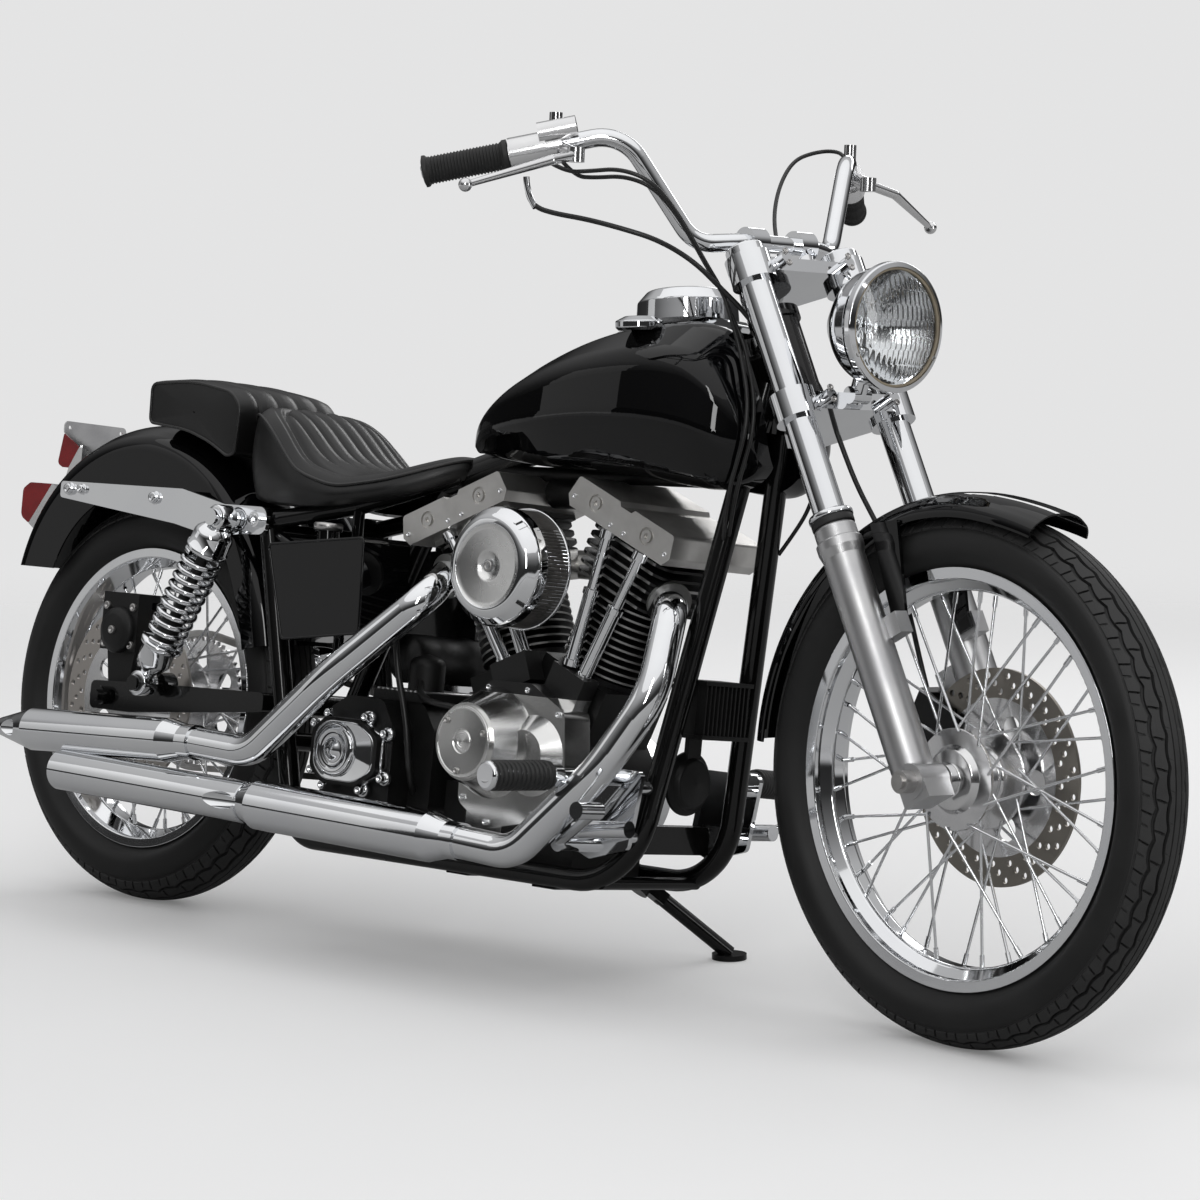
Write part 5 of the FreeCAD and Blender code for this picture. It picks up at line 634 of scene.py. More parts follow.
def makeTyre(end):
    name, joint = end + "TyreTread", joints[end + "_wheel_spin"]
    points, wall = tyrePart(tyres[end])
    rows, columns = points.shape[:2]
    axle, middle = np.array(joint["axis"], float), np.array(joint["pos_m"], float)
    first = unitVector(np.cross(axle, (0, 0, 1)))
    wheelAxes = np.array([first, axle, np.cross(first, axle)])
    mesh = bpy.data.meshes.new(name)
    mesh.from_pydata((points.reshape(-1, 3) @ wheelAxes / 1000 + middle).tolist(), [],
                     gridFaces(rows, columns, True).tolist())
    mesh.materials.append(treadRubber)
    mesh.materials.append(tyreRubber)
    # sharp-edged tread blocks, smooth walls
    onWall = np.broadcast_to(wall[:, :-1] & wall[:, 1:], (rows, columns - 1)).reshape(-1)
    mesh.polygons.foreach_set("material_index", onWall.astype(int))
    mesh.polygons.foreach_set("use_smooth", onWall)
    mesh.validate()
    placePiece(name, mesh, end + "_wheel", (end + "_tyre",))


makeTyre("front")
makeTyre("rear")
print("tyres cut")


# Solo seat: a domed top inside a piping line, over a smooth skirt; cuts are (depth, width)
seat = dict(rear=240.0, front=650.0, stations=(238, 276, 330, 400, 480, 560, 620, 652),
            half=(118, 126, 133, 138, 132, 114, 82, 52), top=(790, 818, 790, 726, 706, 722, 750, 768),
            base=(668, 656, 648, 646, 650, 664, 690, 712), square=0.74, rearSquare=0.52, drop=27.0,
            seam=0.77, seamCut=(5.0, 3.4), edgeSeam=0.86, edgeCut=(3.0, 2.6), border=130.0, borderRoll=7.0,
            channel=30.0, channelRise=4.5, channelCut=(5.0, 2.2), valley=452.0, piping=2.6, fill=0.8,
            turns=320, rounds=64, skirtRounds=14)


def seatTop(x, y, ring):
    # ring is 0 in the middle and 1 at the edge: crown, rolled border, two stitched seams round it, and
    # lengthwise channels on the rear rise
    s = seat
    height = softTable(s["stations"], s["top"], 24)(x) - s["drop"] * ring ** 3.2
    height = height + s["borderRoll"] * np.sin(np.pi * np.clip((ring - s["seam"]) / (1 - s["seam"]), 0, 1))
    for line, (depth, width) in ((s["seam"], s["seamCut"]), (s["edgeSeam"], s["edgeCut"])):
        height = height - depth * groove((ring - line) * s["border"], width)
    lane = (y / s["channel"] + 0.5) % 1 - 0.5
    depth, width = s["channelCut"]
    pleat = s["channelRise"] * (1 - (2 * lane) ** 2)
    pleat = pleat - depth * groove((0.5 - np.abs(lane)) * s["channel"], width)
    inner = 1 - smoothStep(ring, s["seam"] - 0.03, s["seam"] + 0.01)
    rise = 1 - smoothStep(x, s["valley"] - 60, s["valley"])
    return height + inner * rise * pleat


def makeSeat():
    s = seat
    turn = np.linspace(0, 2 * np.pi, s["turns"], endpoint=False)
    ring = np.linspace(0.004, 1, s["rounds"])[:, None]
    middle, reach = 0.5 * (s["rear"] + s["front"]), 0.5 * (s["front"] - s["rear"])
    # superellipse plan, squarer towards the rear corners
    power = s["square"] + (s["rearSquare"] - s["square"]) * smoothStep(-np.cos(turn), 0, 0.6)
    roundX = np.sign(np.cos(turn)) * np.abs(np.cos(turn)) ** power
    roundY = np.sign(np.sin(turn)) * np.abs(np.sin(turn)) ** power
    halfWidth = softTable(s["stations"], s["half"], 16)
    x = middle + reach * ring * roundX
    y = halfWidth(x) * ring * roundY
    top = np.stack([x, y, seatTop(x, y, ring)], -1)
    edge = top[-1]
    fall = np.linspace(0, 1, s["skirtRounds"])[1:, None]
    base = softTable(s["stations"], s["base"], 16)(edge[:, 0])
    # the skirt bulges a little and draws in under the pad
    bulge, tuck = np.sin(np.pi * fall), fall ** 3
    skirt = np.stack([middle + (edge[None, :, 0] - middle) * (1 + 0.02 * bulge - 0.03 * tuck),
                      edge[None, :, 1] * (1 + 0.035 * bulge - 0.05 * tuck),
                      edge[None, :, 2] * (1 - fall) + base[None] * fall], -1)
    under = np.stack([middle + (skirt[-1, :, 0] - middle) * 0.9, skirt[-1, :, 1] * 0.86, base + 4], -1)[None]
    points = np.concatenate([top, skirt, under])
    piece = addPiece("soloSeat", sheet(points, False, True, True), seatLeather, "chassis",
                     replaces=("seat",))
    piping = edge + np.array([0, 0, 1.5])
    piping[:, :2] = (piping[:, :2] - (middle, 0)) * 1.006 + (middle, 0)
    addPiece("seatPiping", wireLoop(piping, s["piping"]), pipingLeather, "chassis")


# Pillion pad: a panel wrapped over the top and front between two flat sides; corners are (x, z, round)
pillion = dict(corners=[(22, 764, 10), (20, 826, 13), (120, 832, 60), (206, 818, 26), (229, 797, 22),
                        (224, 722, 14), (208, 718, 12), (168, 738, 40), (110, 756, 50)],
               half=104.0, seams=(-66, -22, 22, 66), seamCut=(3.0, 1.8), puff=(2.5, 9.0), crown=7.0,
               sideBulge=5.0, piping=2.6, fill=0.8, across=96)


def roundedLoop(corners, steps=10):
    # a closed outline, each corner rounded by an arc-like curve
    points = np.array([c[:2] for c in corners], float)
    loop = []
    for k, (corner, radius) in enumerate(zip(points, [c[2] for c in corners])):
        before, after = points[k - 1] - corner, points[(k + 1) % len(points)] - corner
        cutBack = min(radius, 0.45 * np.linalg.norm(before), 0.45 * np.linalg.norm(after))
        start, end = corner + unitVector(before) * cutBack, corner + unitVector(after) * cutBack
        t = np.linspace(0, 1, steps)[:, None]
        loop.append((1 - t) ** 2 * start + 2 * t * (1 - t) * corner + t ** 2 * end)
    loop = np.concatenate(loop)
    closed = np.vstack([loop, loop[:1]])
    run = np.concatenate([[0], np.cumsum(np.linalg.norm(np.diff(closed, axis=0), axis=1))])
    even = np.linspace(0, run[-1], 200, endpoint=False)
    return np.stack([np.interp(even, run, closed[:, k]) for k in (0, 1)], -1)


def makePillion():
    # the outline is carried from side to side and lifted outwards by a crown with stitched seams
    s = pillion
    loop = roundedLoop(s["corners"])
    middle = loop.mean(0)
    step = np.roll(loop, -1, 0) - np.roll(loop, 1, 0)
    outward = np.stack([-step[:, 1], step[:, 0]], -1)
    outward /= np.linalg.norm(outward, axis=1)[:, None]
    outward *= np.sign(((loop - middle) * outward).sum(1).mean())
    y = np.linspace(-s["half"], s["half"], s["across"])
    nearest = np.min(np.abs(y[:, None] - np.array(s["seams"])[None]), axis=1)
    lift = s["crown"] * (1 - (y / s["half"]) ** 4) + s["puff"][0] * (1 - groove(nearest, s["puff"][1]))
    lift = lift - s["seamCut"][0] * groove(nearest, s["seamCut"][1])
    # seams and crown fade out under the pad
    upper = smoothStep(loop[:, 1], 742, 786)
    rise = upper[:, None] * lift[None]
    wrap = np.stack([loop[:, 0, None] + outward[:, 0, None] * rise, y[None] + 0 * rise,
                     loop[:, 1, None] + outward[:, 1, None] * rise], -1)
    parts = [sheet(wrap, True, False)]
    inward = np.linspace(1, 0.02, 10)[:, None, None]
    for side in (-1, 1):
        bulge = s["sideBulge"] * (1 - inward[..., 0] ** 2) * np.ones(len(loop))
        flat = middle + (loop[None] - middle) * inward
        panel = np.stack([flat[..., 0], side * (s["half"] + bulge), flat[..., 1]], -1)
        parts.append(sheet(panel, False, True, side > 0))
    piece = addPiece("pillionPad", join(parts), seatLeather, "chassis",
                     replaces=("pillion",))
    edges = [np.stack([loop[:, 0], np.full(len(loop), side * s["half"]), loop[:, 1]], -1) for side in (-1, 1)]
    bead = [wireLoop(edge, s["piping"]) for edge in edges]
    addPiece("pillionPiping", join(bead), pipingLeather, "chassis")


makeSeat()
makePillion()
print("seats padded")


# Headlamp: fluted glass in a pale gasket, in front of the CAD reflector
headlamp = dict(centre=(1431.0, 0.0, 951.0), radius=80.6, rise=15.0, flutes=17, fluteDepth=1.7, thick=2.6,
                gasket=[(81.2, -1), (81.4, 4.2), (80.6, 5.6), (78.2, 5.8), (77.4, 4.4), (77.4, 0)],
                screw=(7, 5, 2.4), screwRadius=82.0, screwTurn=0.5)


def lampFace(count=181, rings=44):
    # domed face; upright flutes in bands, pressed into the inner side and shifted from band to band
    s = headlamp
    turn = np.linspace(0, 2 * np.pi, count, endpoint=False)
    ring = np.linspace(0.01, 1, rings)[:, None]
    y, z = s["radius"] * ring * np.cos(turn), s["radius"] * ring * np.sin(turn)
    dome = s["rise"] * (1 - ring ** 2) * np.ones_like(y) + 1
    band = np.abs(((z / s["radius"]) * 4 + 4) % 2 - 1)
    flute = np.abs(np.sin(np.pi * (y / s["radius"] * s["flutes"] / 2 + 0.35 * np.round(band))))
    inside = dome - s["thick"] - s["fluteDepth"] * flute * (ring < 0.93)
    return np.stack([dome, y, z], -1)[::-1], np.stack([inside, y, z], -1)


def makeHeadlamp():
    # both faces of the glass, joined round the edge; gasket ring and two screws
    s = headlamp
    outer, inner = lampFace()
    centre = np.array(s["centre"])
    rim = np.stack([outer[0], inner[-1]]) + centre
    parts = [sheet(outer + centre, False, True, True), sheet(inner + centre, False, True, True),
             sheet(rim, False, True)]
    addPiece("headlampGlass", join(parts), lampGlass, "fork", True, ("headlamp_lens",))
    gasket = lathe(s["gasket"], centre, (1, 0, 0), 120, True)
    addPiece("headlampGasket", gasket, paleGasket, "fork", True)
    aside, below = s["screwRadius"] * math.cos(s["screwTurn"]), -s["screwRadius"] * math.sin(s["screwTurn"])
    screws = [capScrew(centre + (2.0, side * aside, below), (1, 0, 0), *s["screw"]) for side in (-1, 1)]
    addPiece("headlampScrews", join(screws), steel, "fork", True)


makeHeadlamp()

# Engine and gearbox trim; a screw is (across, height, socket radius), and spots are (x, z), or on the
# heads (x, rise above the head)
toRight, upward = (0, -1, 0), (0, 0, 1)
pointsCover = dict(centre=(850.0, -189.0, 329.0), radius=51.0, screwRadius=43.0, screws=(20, 140, 262),
                   screw=(9, 4.5, 2.6))
cleaner = dict(centre=(872.0, -198.0, 581.0), radius=86.0, pleats=96, pleatDepth=2.6, low=38.0, high=78.0,
               dish=[(60.5, 0.2), (59.6, 1.4), (52, 2.6), (24, 3.6), (19.4, 4.2), (18.2, 8.6), (0.2, 8.6)],
               bolt=(15, 7.5, 4.2), boltFace=9.5)
headBolts = dict(screw=(7, 2.6, 2.0), face=-104.6, spots=[(-96, 16), (-14, 9), (14, 9), (96, 16)])
camBolts = dict(screw=(9, 5, 2.6), face=-127.6, spots=[(800, 372), (836, 408), (912, 410), (974, 380),
                                                       (982, 304), (942, 236), (852, 215), (802, 246)])
gearboxBolts = dict(screw=(13, 9, 3.2), face=-138.0, spots=[(499, 256), (499, 326), (526, 343), (604, 343),
                                                            (646, 322), (646, 256), (604, 235), (526, 235)])
lidRibs = dict(start=572.0, step=9.6, count=11, right=-90.0, left=38.0, height=386.4, radius=2.6)
endCover = dict(corners=[(502, 262, 14), (502, 318, 14), (528, 338, 14), (600, 338, 16), (640, 316, 16),
                         (640, 262, 16), (600, 240, 16), (528, 240, 14)],
                steps=[(1.03, -126.6), (1.03, -137), (1.02, -139), (0.90, -150.6), (0.87, -151),
                       (0.84, -150.4), (0.02, -150.4)],
                boss=(554.0, -150.0, 290.0),
                bossSteps=[(40.4, -0.4), (38.8, 5.6), (37.4, 6.4), (27, 6.6), (24.4, 4.4), (12.4, 4.4),
                           (10.2, 7.4), (0.2, 7.4)],
                lugs=[(646, 322), (646, 256), (604, 343), (604, 235)], lugDepth=(-127, -138.4), lugRadius=11)
starter = dict(x=588.0, z=434.0, right=-66.0, left=112.0, radius=37.0)
loom = dict(start=(640.0, -6.0, 722.0), end=(1120.0, -6.0, 729.0), radius=10.5)
coil = dict(start=(806.0, 0.0, 698.0), end=(934.0, 0.0, 700.0), radius=23.0)
oilTank = dict(corners=[(394, 586, 8), (596, 607, 8), (602, 466, 8), (440, 446, 8)], face=-171.6, bead=2.2,
               cap=(484.0, -138.0, 617.0),
               capSteps=[(17.4, -4), (21.8, -3), (22.2, 6), (20.4, 8.2), (8, 9), (0.2, 9)])
caliper = dict(centre=(2.0, -112.0, 430.0), screw=(13, 5, 3.2),
               cover=[(37, -0.5), (37, 5), (34, 9), (26, 12.6), (24.6, 13.2), (0.2, 13.2)],
               spots=[(0, -13, 0), (-30, 0, 38), (32, 0, 38), (-30, 0, -22), (32, 0, -22)])
peg = dict(root=(1052.0, 222.0, 300.0), tip=(1036.0, 336.0, 295.0), radius=20.3, ribs=13)


def bankPoint(side, x, y, z):
    # a point given along and up one cylinder bank, leant forward or back about the crank
    lean = math.radians(engine["bank"] * side)
    crankX, crankZ = engine["crank"][0], engine["crank"][2]
    return np.array([crankX + x * math.cos(lean) + z * math.sin(lean), y,
                     crankZ - x * math.sin(lean) + z * math.cos(lean)])


def makePointsCover():
    # a disc of fine turned rings, waves in the radius, with a low rim and a raised middle
    s = pointsCover
    radius = np.linspace(s["radius"], 0.2, 110)
    lift = 1.4 * smoothStep(radius, s["radius"] - 5, s["radius"] - 3) + 0.3 * np.cos(radius * np.pi / 1.5)
    lift = lift + 1.6 * (1 - smoothStep(radius, 14, 17)) - 1.2 * (1 - smoothStep(radius, 7, 9))
    profile = [(s["radius"], -0.5)] + [(r, 1.2 + h) for r, h in zip(radius, lift)]
    face = lathe(profile, s["centre"], toRight, 96)
    addPiece("pointsCoverFace", face, turnedAlloy, "chassis")
    screws = []
    for angle in np.radians(s["screws"]):
        aside, above = s["screwRadius"] * math.cos(angle), s["screwRadius"] * math.sin(angle)
        screws.append(capScrew(np.array(s["centre"]) + (aside, -1, above), toRight, *s["screw"]))
    addPiece("pointsCoverScrews", join(screws), steel, "chassis")


def makeAirCleaner():
    # a zigzag ring of filter pleats, a turned dish and its bolt
    s = cleaner
    centre = np.array(s["centre"])
    turn = np.linspace(0, 2 * np.pi, s["pleats"] * 4, endpoint=False)
    fold = np.abs((turn * s["pleats"] / (2 * np.pi)) % 1 * 2 - 1)
    radius = s["radius"] - 1.6 - s["pleatDepth"] * fold
    levels = np.array([s["low"], s["low"] + 1, s["high"] - 1, s["high"]])[:, None]
    points = centre + np.stack([radius * np.cos(turn) + 0 * levels, levels + 0 * turn,
                                radius * np.sin(turn) + 0 * levels], -1)
    addPiece("airFilterPleats", sheet(points, False, True), filterPaper, "chassis")
    addPiece("airCleanerDish", lathe(s["dish"], centre, (0, 1, 0), 128), dishAlloy, "chassis")
    bolt = capScrew(centre + (0, s["boltFace"], 0), toRight, *s["bolt"])
    addPiece("airCleanerBolt", bolt, steel, "chassis")


def makeEngineBolts():
    # screws on both heads, round the cam cover and round the gearbox end
    s = headBolts
    heads = [capScrew(bankPoint(side, x, s["face"], engine["headTop"] + rise), toRight, *s["screw"])
             for side in (1, -1) for x, rise in s["spots"]]
    for s in (camBolts, gearboxBolts):
        heads += [capScrew((x, s["face"], z), toRight, *s["screw"]) for x, z in s["spots"]]
    addPiece("engineBolts", join(heads), chrome, "chassis")
    s = lidRibs
    places = [s["start"] + k * s["step"] for k in range(s["count"])]
    ribs = [roundBar((x, s["right"], s["height"]), (x, s["left"], s["height"]), s["radius"]) for x in places]
    addPiece("gearboxLidRibs", join(ribs), satinAlloy, "chassis")


def plateStack(corners, steps):
    # rounded outline in x and z, scaled about its middle at each depth
    loop = roundedLoop(corners, 8)
    middle = loop.mean(0)
    area = np.sum(loop[:, 0] * np.roll(loop[:, 1], -1) - loop[:, 1] * np.roll(loop[:, 0], -1))
    rows = []
    for scale, depth in steps:
        ring = middle + (loop - middle) * scale
        rows.append(np.stack([ring[:, 0], np.full(len(ring), depth), ring[:, 1]], -1))
    return sheet(np.array(rows), False, True, area > 0)


def makeGearboxTrim():
    # end cover: stacked plates, a turned boss and lugs under the bolts
    s = endCover
    inner, outer = s["lugDepth"]
    lugs = [roundBar((x, inner, z), (x, outer, z), s["lugRadius"]) for x, z in s["lugs"]]
    cover = [plateStack(s["corners"], s["steps"]), lathe(s["bossSteps"], s["boss"], toRight, 96)] + lugs
    addPiece("gearboxEndCover", join(cover), chrome, "chassis")
    # starter: a barrel between two collars
    s = starter
    radius, length = s["radius"], s["left"] - s["right"]
    barrel = [(0.01, 0), (20, 0), (22, 3), (radius - 4, 8), (radius, 14), (radius, 60), (radius - 2, 62),
              (radius - 2, 120), (radius, 122), (radius, 160), (radius - 8, length), (0.01, length)]
    motor = lathe(barrel, (s["x"], s["right"], s["z"]), (0, 1, 0), 72)
    addPiece("starterMotor", motor, engineBlack, "chassis")


def makeSideTrim():
    # beaded edge and filler cap of the oil tank
    s = oilTank
    edge = roundedLoop(s["corners"], 8)
    bead = wireLoop(np.stack([edge[:, 0], np.full(len(edge), s["face"]), edge[:, 1]], -1), s["bead"])
    addPiece("oilTankBead", bead, glossBlack, "chassis")
    addPiece("oilTankCap", lathe(s["capSteps"], s["cap"], upward, 48), steel, "chassis")
    # ignition coil and wiring loom in the dark under the tanks
    parts = [roundBar(p["start"], p["end"], p["radius"], 40) for p in (loom, coil)]
    addPiece("coilAndLoom", join(parts), engineBlack, "chassis")
    # piston cover and bolts of the rear caliper
    s = caliper
    centre = np.array(s["centre"])
    cover = lathe(s["cover"], centre, toRight, 72)
    addPiece("rearCaliperCover", cover, engineBlack, "chassis")
    bolts = [capScrew(centre + spot, toRight, *s["screw"]) for spot in s["spots"]]
    addPiece("rearCaliperBolts", join(bolts), steel, "chassis")


def makePegs():
    rubbers, caps = [], []
    t = np.linspace(0, 1, 8 * peg["ribs"] + 1)
    # flat-topped ribs between plain ends
    ribs = np.clip(1.6 * np.cos(2 * np.pi * peg["ribs"] * t), -1, 1) * (np.abs(t - 0.5) < 0.47)
    for side in (-1, 1):
        root, tip = (np.array(peg[end]) * (1, side, 1) for end in ("root", "tip"))
        out, length = unitVector(tip - root), np.linalg.norm(tip - root)
        body = [(peg["radius"] + rib, 5 + (length - 13) * k) for rib, k in zip(ribs, t)]
        rubbers.append(lathe([(16, 4)] + body + [(16, length - 7)], root, out, 48))
        cap = [(18, -8), (20.6, -7.4), (20.6, -4), (19.4, -2), (17.2, -0.4), (13, -0.2), (0.2, -0.2)]
        caps.append(lathe([(radius, length + back) for radius, back in cap], root, out, 72))
    addPiece("pegRubbers", join(rubbers), blackRubber, "chassis")
    addPiece("pegCaps", join(caps), chrome, "chassis")


makePointsCover()
makeAirCleaner()
makeEngineBolts()
makeGearboxTrim()
makePegs()
makeSideTrim()
print("engine dressed")

# Grips, in the fork's own frame: a barrel with fine ribs between two collars, and a cap on its end
bar = dict(end=(918, 412, 1143), bend=(1104, 216, 1206), gripRadius=19.0, gripLength=118.0, ribs=26,
           cap=[(0.01, 0), (7, 0), (9, 1), (9.4, 2.4), (9.4, 5)])


def gripLine(side):
    end, bend = (np.array(bar[place], float) * (1, side, 1) for place in ("end", "bend"))
    return end, unitVector(bend - end)


def makeGrips():
    # radius as a wave along the grip, raised at both ends
    t = np.linspace(0, 1, 160)
    radius = bar["gripRadius"] - 0.2 + 0.9 * np.cos(t * 2 * np.pi * bar["ribs"]) * (np.abs(t - 0.5) < 0.43)
    radius = radius + 3.4 * (1 - smoothStep(t, 0.03, 0.07)) + 3.2 * smoothStep(t, 0.92, 0.95)
    length = bar["gripLength"] + 4
    profile = [(0.01, 0), (16, 0), (19.5, 1.2)] + [(r, 2 + k * (length - 3)) for r, k in zip(radius, t)]
    profile += [(bar["gripRadius"] - 5, length - 0.5)]
    grips, caps = [], []
    for side in (-1, 1):
        end, inward = gripLine(side)
        grips.append(lathe(profile, end - inward * 4, inward, 48))
        caps.append(lathe(bar["cap"], end - inward * 6, inward, 48))
    addPiece("barGrips", join(grips), blackRubber, "fork", True, ("grips",))
    addPiece("barEndCaps", join(caps), chrome, "fork", True)


makeGrips()

# Shocks: turned bodies, a real coil and rubber-bushed eyes; then the bolts through the fender struts
shock = dict(top=(272.0, 160.0, 620.0), low=(126.0, 160.0, 353.0), coilRadius=28.5, wire=4.2, turns=10,
             coilLow=78.0, coilHigh=62.0,
             body=[(0.01, 14), (12, 14), (13, 22), (15, 24), (26, 40), (27, 43), (27, 66), (30, 68), (34, 70),
                   (34.5, 74), (34, 78), (18, 78.5)],
             eye=[(8.2, -15), (18.5, -15), (20, -13), (20, 13), (18.5, 15), (8.2, 15)],
             bush=[(8.1, -15.4), (13, -15.6), (13.4, 0), (13, 15.6), (8.1, 15.4)])
strutBolts = dict(washer=136.8, head=138.4, height=7,
                  spots=[(-118, 648, 17), (-88, 649, 14), (88, 644, 17), (326, 622, 19)])


def shockParts(side):
    # profiles turned about the line from the low eye to the top one, and a helix between them
    s = shock
    top, low = (np.array(s[end]) * (1, side, 1) for end in ("top", "low"))
    axis, length = unitVector(top - low), np.linalg.norm(top - low)
    high = length - s["coilHigh"]
    cover = [(16, high), (32, high + 0.2), (33.6, high + 2), (33.6, high + 8), (31.4, high + 9),
             (31.4, high + 30), (29, high + 36), (22, high + 44), (18, length - 14), (0.01, length - 14)]
    bodies = [lathe(s["body"], low, axis, 72), lathe(cover, low, axis, 72)]
    bodies += [lathe(s["eye"], place, (0, 1, 0), 56, True) for place in (top, low)]
    first, second = sideAxes(axis)
    turn = np.linspace(0, 2 * np.pi * s["turns"], s["turns"] * 36)
    rise = np.linspace(s["coilLow"] + s["wire"], high - s["wire"], len(turn))
    circle = np.cos(turn)[:, None] * first + np.sin(turn)[:, None] * second
    springs = [wireLoop(low + rise[:, None] * axis + s["coilRadius"] * circle, s["wire"], False, 12)]
    bushes = [lathe(s["bush"], place, (0, 1, 0), 40, True) for place in (top, low)]
    bushes.append(lathe([(17, 78), (17, 118), (9, 119), (9, high + 2)], low, axis, 48))
    return bodies, springs, bushes


def makeShocks():
    bodies, springs, bushes = (a + b for a, b in zip(shockParts(-1), shockParts(1)))
    addPiece("shockBodies", join(bodies), chrome, "chassis", replaces=("shocks",))
    addPiece("shockCoils", join(springs), chrome, "chassis")
    addPiece("shockBushes", join(bushes), blackRubber, "chassis")
    # a washer and a domed bolt at each spot
    s = strutBolts
    bolts = []
    for side in (-1, 1):
        for x, z, across in s["spots"]:
            washer = [(across * 0.62, 0), (across * 0.62, 1.6), (across * 0.5, 1.8)]
            bolts.append(lathe(washer, (x, side * s["washer"], z), (0, side, 0), 40))
            bolts.append(capScrew((x, side * s["head"], z), (0, side, 0), across, s["height"], across * 0.22))
    addPiece("strutBolts", join(bolts), chrome, "chassis")


makeShocks()

# Fork sliders: dark seals under a chrome ring; small fasteners on the clamps
fork = dict(axleX=1610.0, axleZ=357.0, rake=28.3, half=90.0, back=11.0, sliderTop=372.0,
            seal=[(22.3, 0), (29.2, 0), (29.6, 2), (29.6, 9), (28.8, 11), (22.3, 11)],
            ring=[(22.3, 11), (30.2, 11), (30.8, 12.5), (30.8, 17), (29.6, 19), (24, 21), (22.3, 21)],
            clamps=(552.0, 762.0), clampFront=32.6, screwAside=60, screwShift=9, screw=(9, 3.2, 2.6))


def forkPoint(fore, y, along):
    # a point in the fork's own frame: along the legs from the axle
    rake = math.radians(fork["rake"])
    return np.array([fork["axleX"] - along * math.sin(rake) + fore * math.cos(rake), y,
                     fork["axleZ"] + along * math.cos(rake) + fore * math.sin(rake)])


def makeForkTrim():
    # profiles turned about the legs, and screws in pairs on each clamp
    s = fork
    legs, ahead = forkPoint(0, 0, 1) - forkPoint(0, 0, 0), forkPoint(1, 0, 0) - forkPoint(0, 0, 0)
    feet = [forkPoint(-s["back"], side * s["half"], s["sliderTop"]) for side in (-1, 1)]
    seals = [lathe(s["seal"], foot, legs, 72, True) for foot in feet]
    rings = [lathe(s["ring"], foot, legs, 72, True) for foot in feet]
    addPiece("forkSeals", join(seals), blackRubber, "fork", True)
    addPiece("forkSealRings", join(rings), chrome, "fork", True)
    places = [forkPoint(s["clampFront"], side * s["screwAside"], clamp + shift) for clamp in s["clamps"]
              for side in (-1, 1) for shift in (-s["screwShift"], s["screwShift"])]
    screws = [capScrew(place, ahead, *s["screw"]) for place in places]
    addPiece("clampScrews", join(screws), steel, "fork", True)


makeForkTrim()
print("fork and shocks trimmed")

# Studio: metres; the sky is grey by height, from straight down at 0 to straight up at 1
studio = dict(floor=(0.80, 0.80, 0.80), floorSeen=0.5, backdrop=0.776, glow=0.15, sunPower=0.8,
              sunAngle=100.0, sunTilt=(8, 6), reach=9.0, fadeStart=3.0, fadeEnd=6.5, exposure=0.0,
              sky=[(0.0, 0.36), (0.485, 0.42), (0.502, 0.02), (0.58, 0.03), (0.66, 0.13), (0.78, 0.44),
                   (1.0, 0.6)])
panels = [
    dict(name="keyPanel", place=(2.8, -3.6, 2.4), aim=(0.2, 0, 0.6), size=(0.6, 2.2), power=34),
    dict(name="frontPanel", place=(4.4, 0.6, 1.5), aim=(0.5, 0, 0.7), size=(0.5, 2.6), power=18),
    dict(name="rearPanel", place=(-3.2, -2.6, 1.6), aim=(-0.5, 0, 0.6), size=(1.5, 2.2), power=4.5),
    dict(name="rimPanel", place=(-0.6, 3.6, 2.6), aim=(0.0, 0, 0.7), size=(3.4, 0.7), power=26)]


def areaLight(name, place, aim, size, power):
    data = bpy.data.lights.new(name, "AREA")
    data.shape, data.size, data.size_y = "RECTANGLE", *size
    data.energy = power
    lamp = bpy.data.objects.new(name, data)
    bpy.context.scene.collection.objects.link(lamp)
    lamp.location = place
    lamp.rotation_mode = "QUATERNION"
    lamp.rotation_quaternion = (Vector(aim) - Vector(place)).to_track_quat("-Z", "Y")


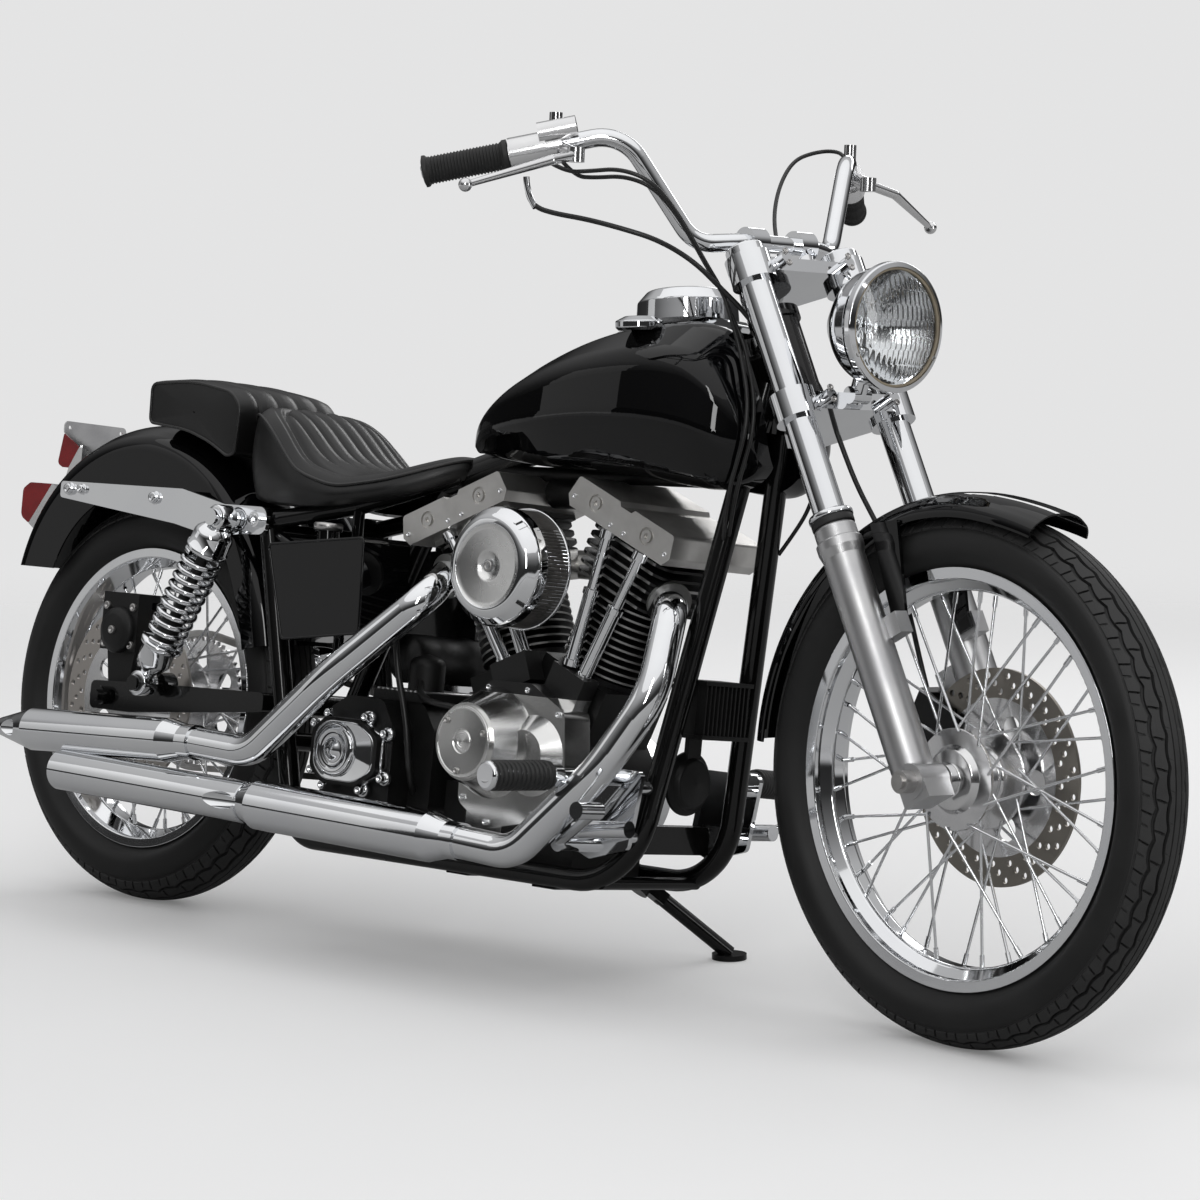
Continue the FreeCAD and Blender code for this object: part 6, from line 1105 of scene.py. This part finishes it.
def makeFloor():
    side = np.linspace(-studio["reach"], studio["reach"], 9)
    x, y = np.meshgrid(side, side)
    mesh = bpy.data.meshes.new("studioFloor")
    mesh.from_pydata(np.stack([x, y, 0 * x - 0.0005], -1).reshape(-1, 3).tolist(), [],
                     gridFaces(9, 9).tolist())
    floor = bpy.data.objects.new("studioFloor", mesh)
    bpy.context.scene.collection.objects.link(floor)
    material = bpy.data.materials.new("paleFloor")
    material.use_nodes = True
    tree = material.node_tree
    shader = tree.nodes["Principled BSDF"]
    place = wire(tree, "ShaderNodeTexCoord").outputs["Object"]
    noise = wire(tree, "ShaderNodeTexNoise", {"Vector": place, "Scale": 2.0}).outputs["Fac"]
    tones = {"Factor": noise, "A": (*studio["floor"], 1), "B": (*[c * 0.985 for c in studio["floor"]], 1)}
    shade = wire(tree, "ShaderNodeMix", tones, data_type="RGBA")
    shader.inputs["Roughness"].default_value = 0.8
    shader.inputs["Specular IOR Level"].default_value = 0.1
    # dimmer in reflections than to the camera, so that paint and chrome keep their darks
    toCamera = wire(tree, "ShaderNodeLightPath").outputs["Is Camera Ray"]
    seen = wire(tree, "ShaderNodeMapRange", {"Value": toCamera, "To Min": studio["floorSeen"]})
    dim = wire(tree, "ShaderNodeVectorMath",
               {0: shade.outputs["Result"], "Scale": seen.outputs["Result"]}, operation="SCALE")
    tree.links.new(dim.outputs["Vector"], shader.inputs["Base Color"])
    shader.inputs["Emission Color"].default_value = (1, 1, 1, 1)
    glow = wire(tree, "ShaderNodeMath", {0: toCamera, 1: studio["glow"]}, operation="MULTIPLY")
    tree.links.new(glow.outputs["Value"], shader.inputs["Emission Strength"])
    # the floor melts into the backdrop away from the motorcycle
    distance = wire(tree, "ShaderNodeVectorMath", {0: place}, operation="LENGTH").outputs["Value"]
    fade = wire(tree, "ShaderNodeMapRange",
                {"Value": distance, "From Min": studio["fadeStart"], "From Max": studio["fadeEnd"]},
                interpolation_type="SMOOTHSTEP")
    clear = wire(tree, "ShaderNodeBsdfTransparent")
    mix = wire(tree, "ShaderNodeMixShader",
               {"Fac": fade.outputs["Result"], 1: shader.outputs["BSDF"], 2: clear.outputs["BSDF"]})
    tree.links.new(mix.outputs["Shader"], tree.nodes["Material Output"].inputs["Surface"])
    mesh.materials.append(material)


def makeWorld():
    # flat to the camera; to reflections a dark band at eye level between a pale floor and pale ceiling
    world = bpy.data.worlds.new("studioWorld")
    world.use_nodes = True
    tree = world.node_tree
    back = tree.nodes["Background"]
    place = wire(tree, "ShaderNodeTexCoord").outputs["Generated"]
    split = wire(tree, "ShaderNodeSeparateXYZ", {"Vector": place}).outputs["Z"]
    height = wire(tree, "ShaderNodeMapRange", {"Value": split, "From Min": -1.0, "From Max": 1.0})
    sky = wire(tree, "ShaderNodeValToRGB", {"Fac": height.outputs["Result"]})
    elements = sky.color_ramp.elements
    while len(elements) < len(studio["sky"]):
        elements.new(0.5)
    for element, (where, grey) in zip(elements, studio["sky"]):
        element.position, element.color = where, (grey, grey, grey * 1.01, 1)
    toCamera = wire(tree, "ShaderNodeLightPath").outputs["Is Camera Ray"]
    backdrop = (studio["backdrop"], studio["backdrop"], studio["backdrop"] * 1.003, 1)
    tone = wire(tree, "ShaderNodeMix", {"Factor": toCamera, "A": sky.outputs["Color"], "B": backdrop},
                data_type="RGBA")
    tree.links.new(tone.outputs["Result"], back.inputs["Color"])
    back.inputs["Strength"].default_value = 1.0
    bpy.context.scene.world = world


def makeLights():
    # one wide soft sun, and panels that show as long reflections
    data = bpy.data.lights.new("openSky", "SUN")
    data.energy, data.angle = studio["sunPower"], math.radians(studio["sunAngle"])
    sun = bpy.data.objects.new("openSky", data)
    bpy.context.scene.collection.objects.link(sun)
    sun.rotation_euler = (*[math.radians(tilt) for tilt in studio["sunTilt"]], 0)
    for panel in panels:
        areaLight(**panel)


makeFloor()
makeWorld()
makeLights()
print("studio lit")
bpy.context.scene.view_settings.view_transform = "Standard"
bpy.context.scene.view_settings.exposure = studio["exposure"]
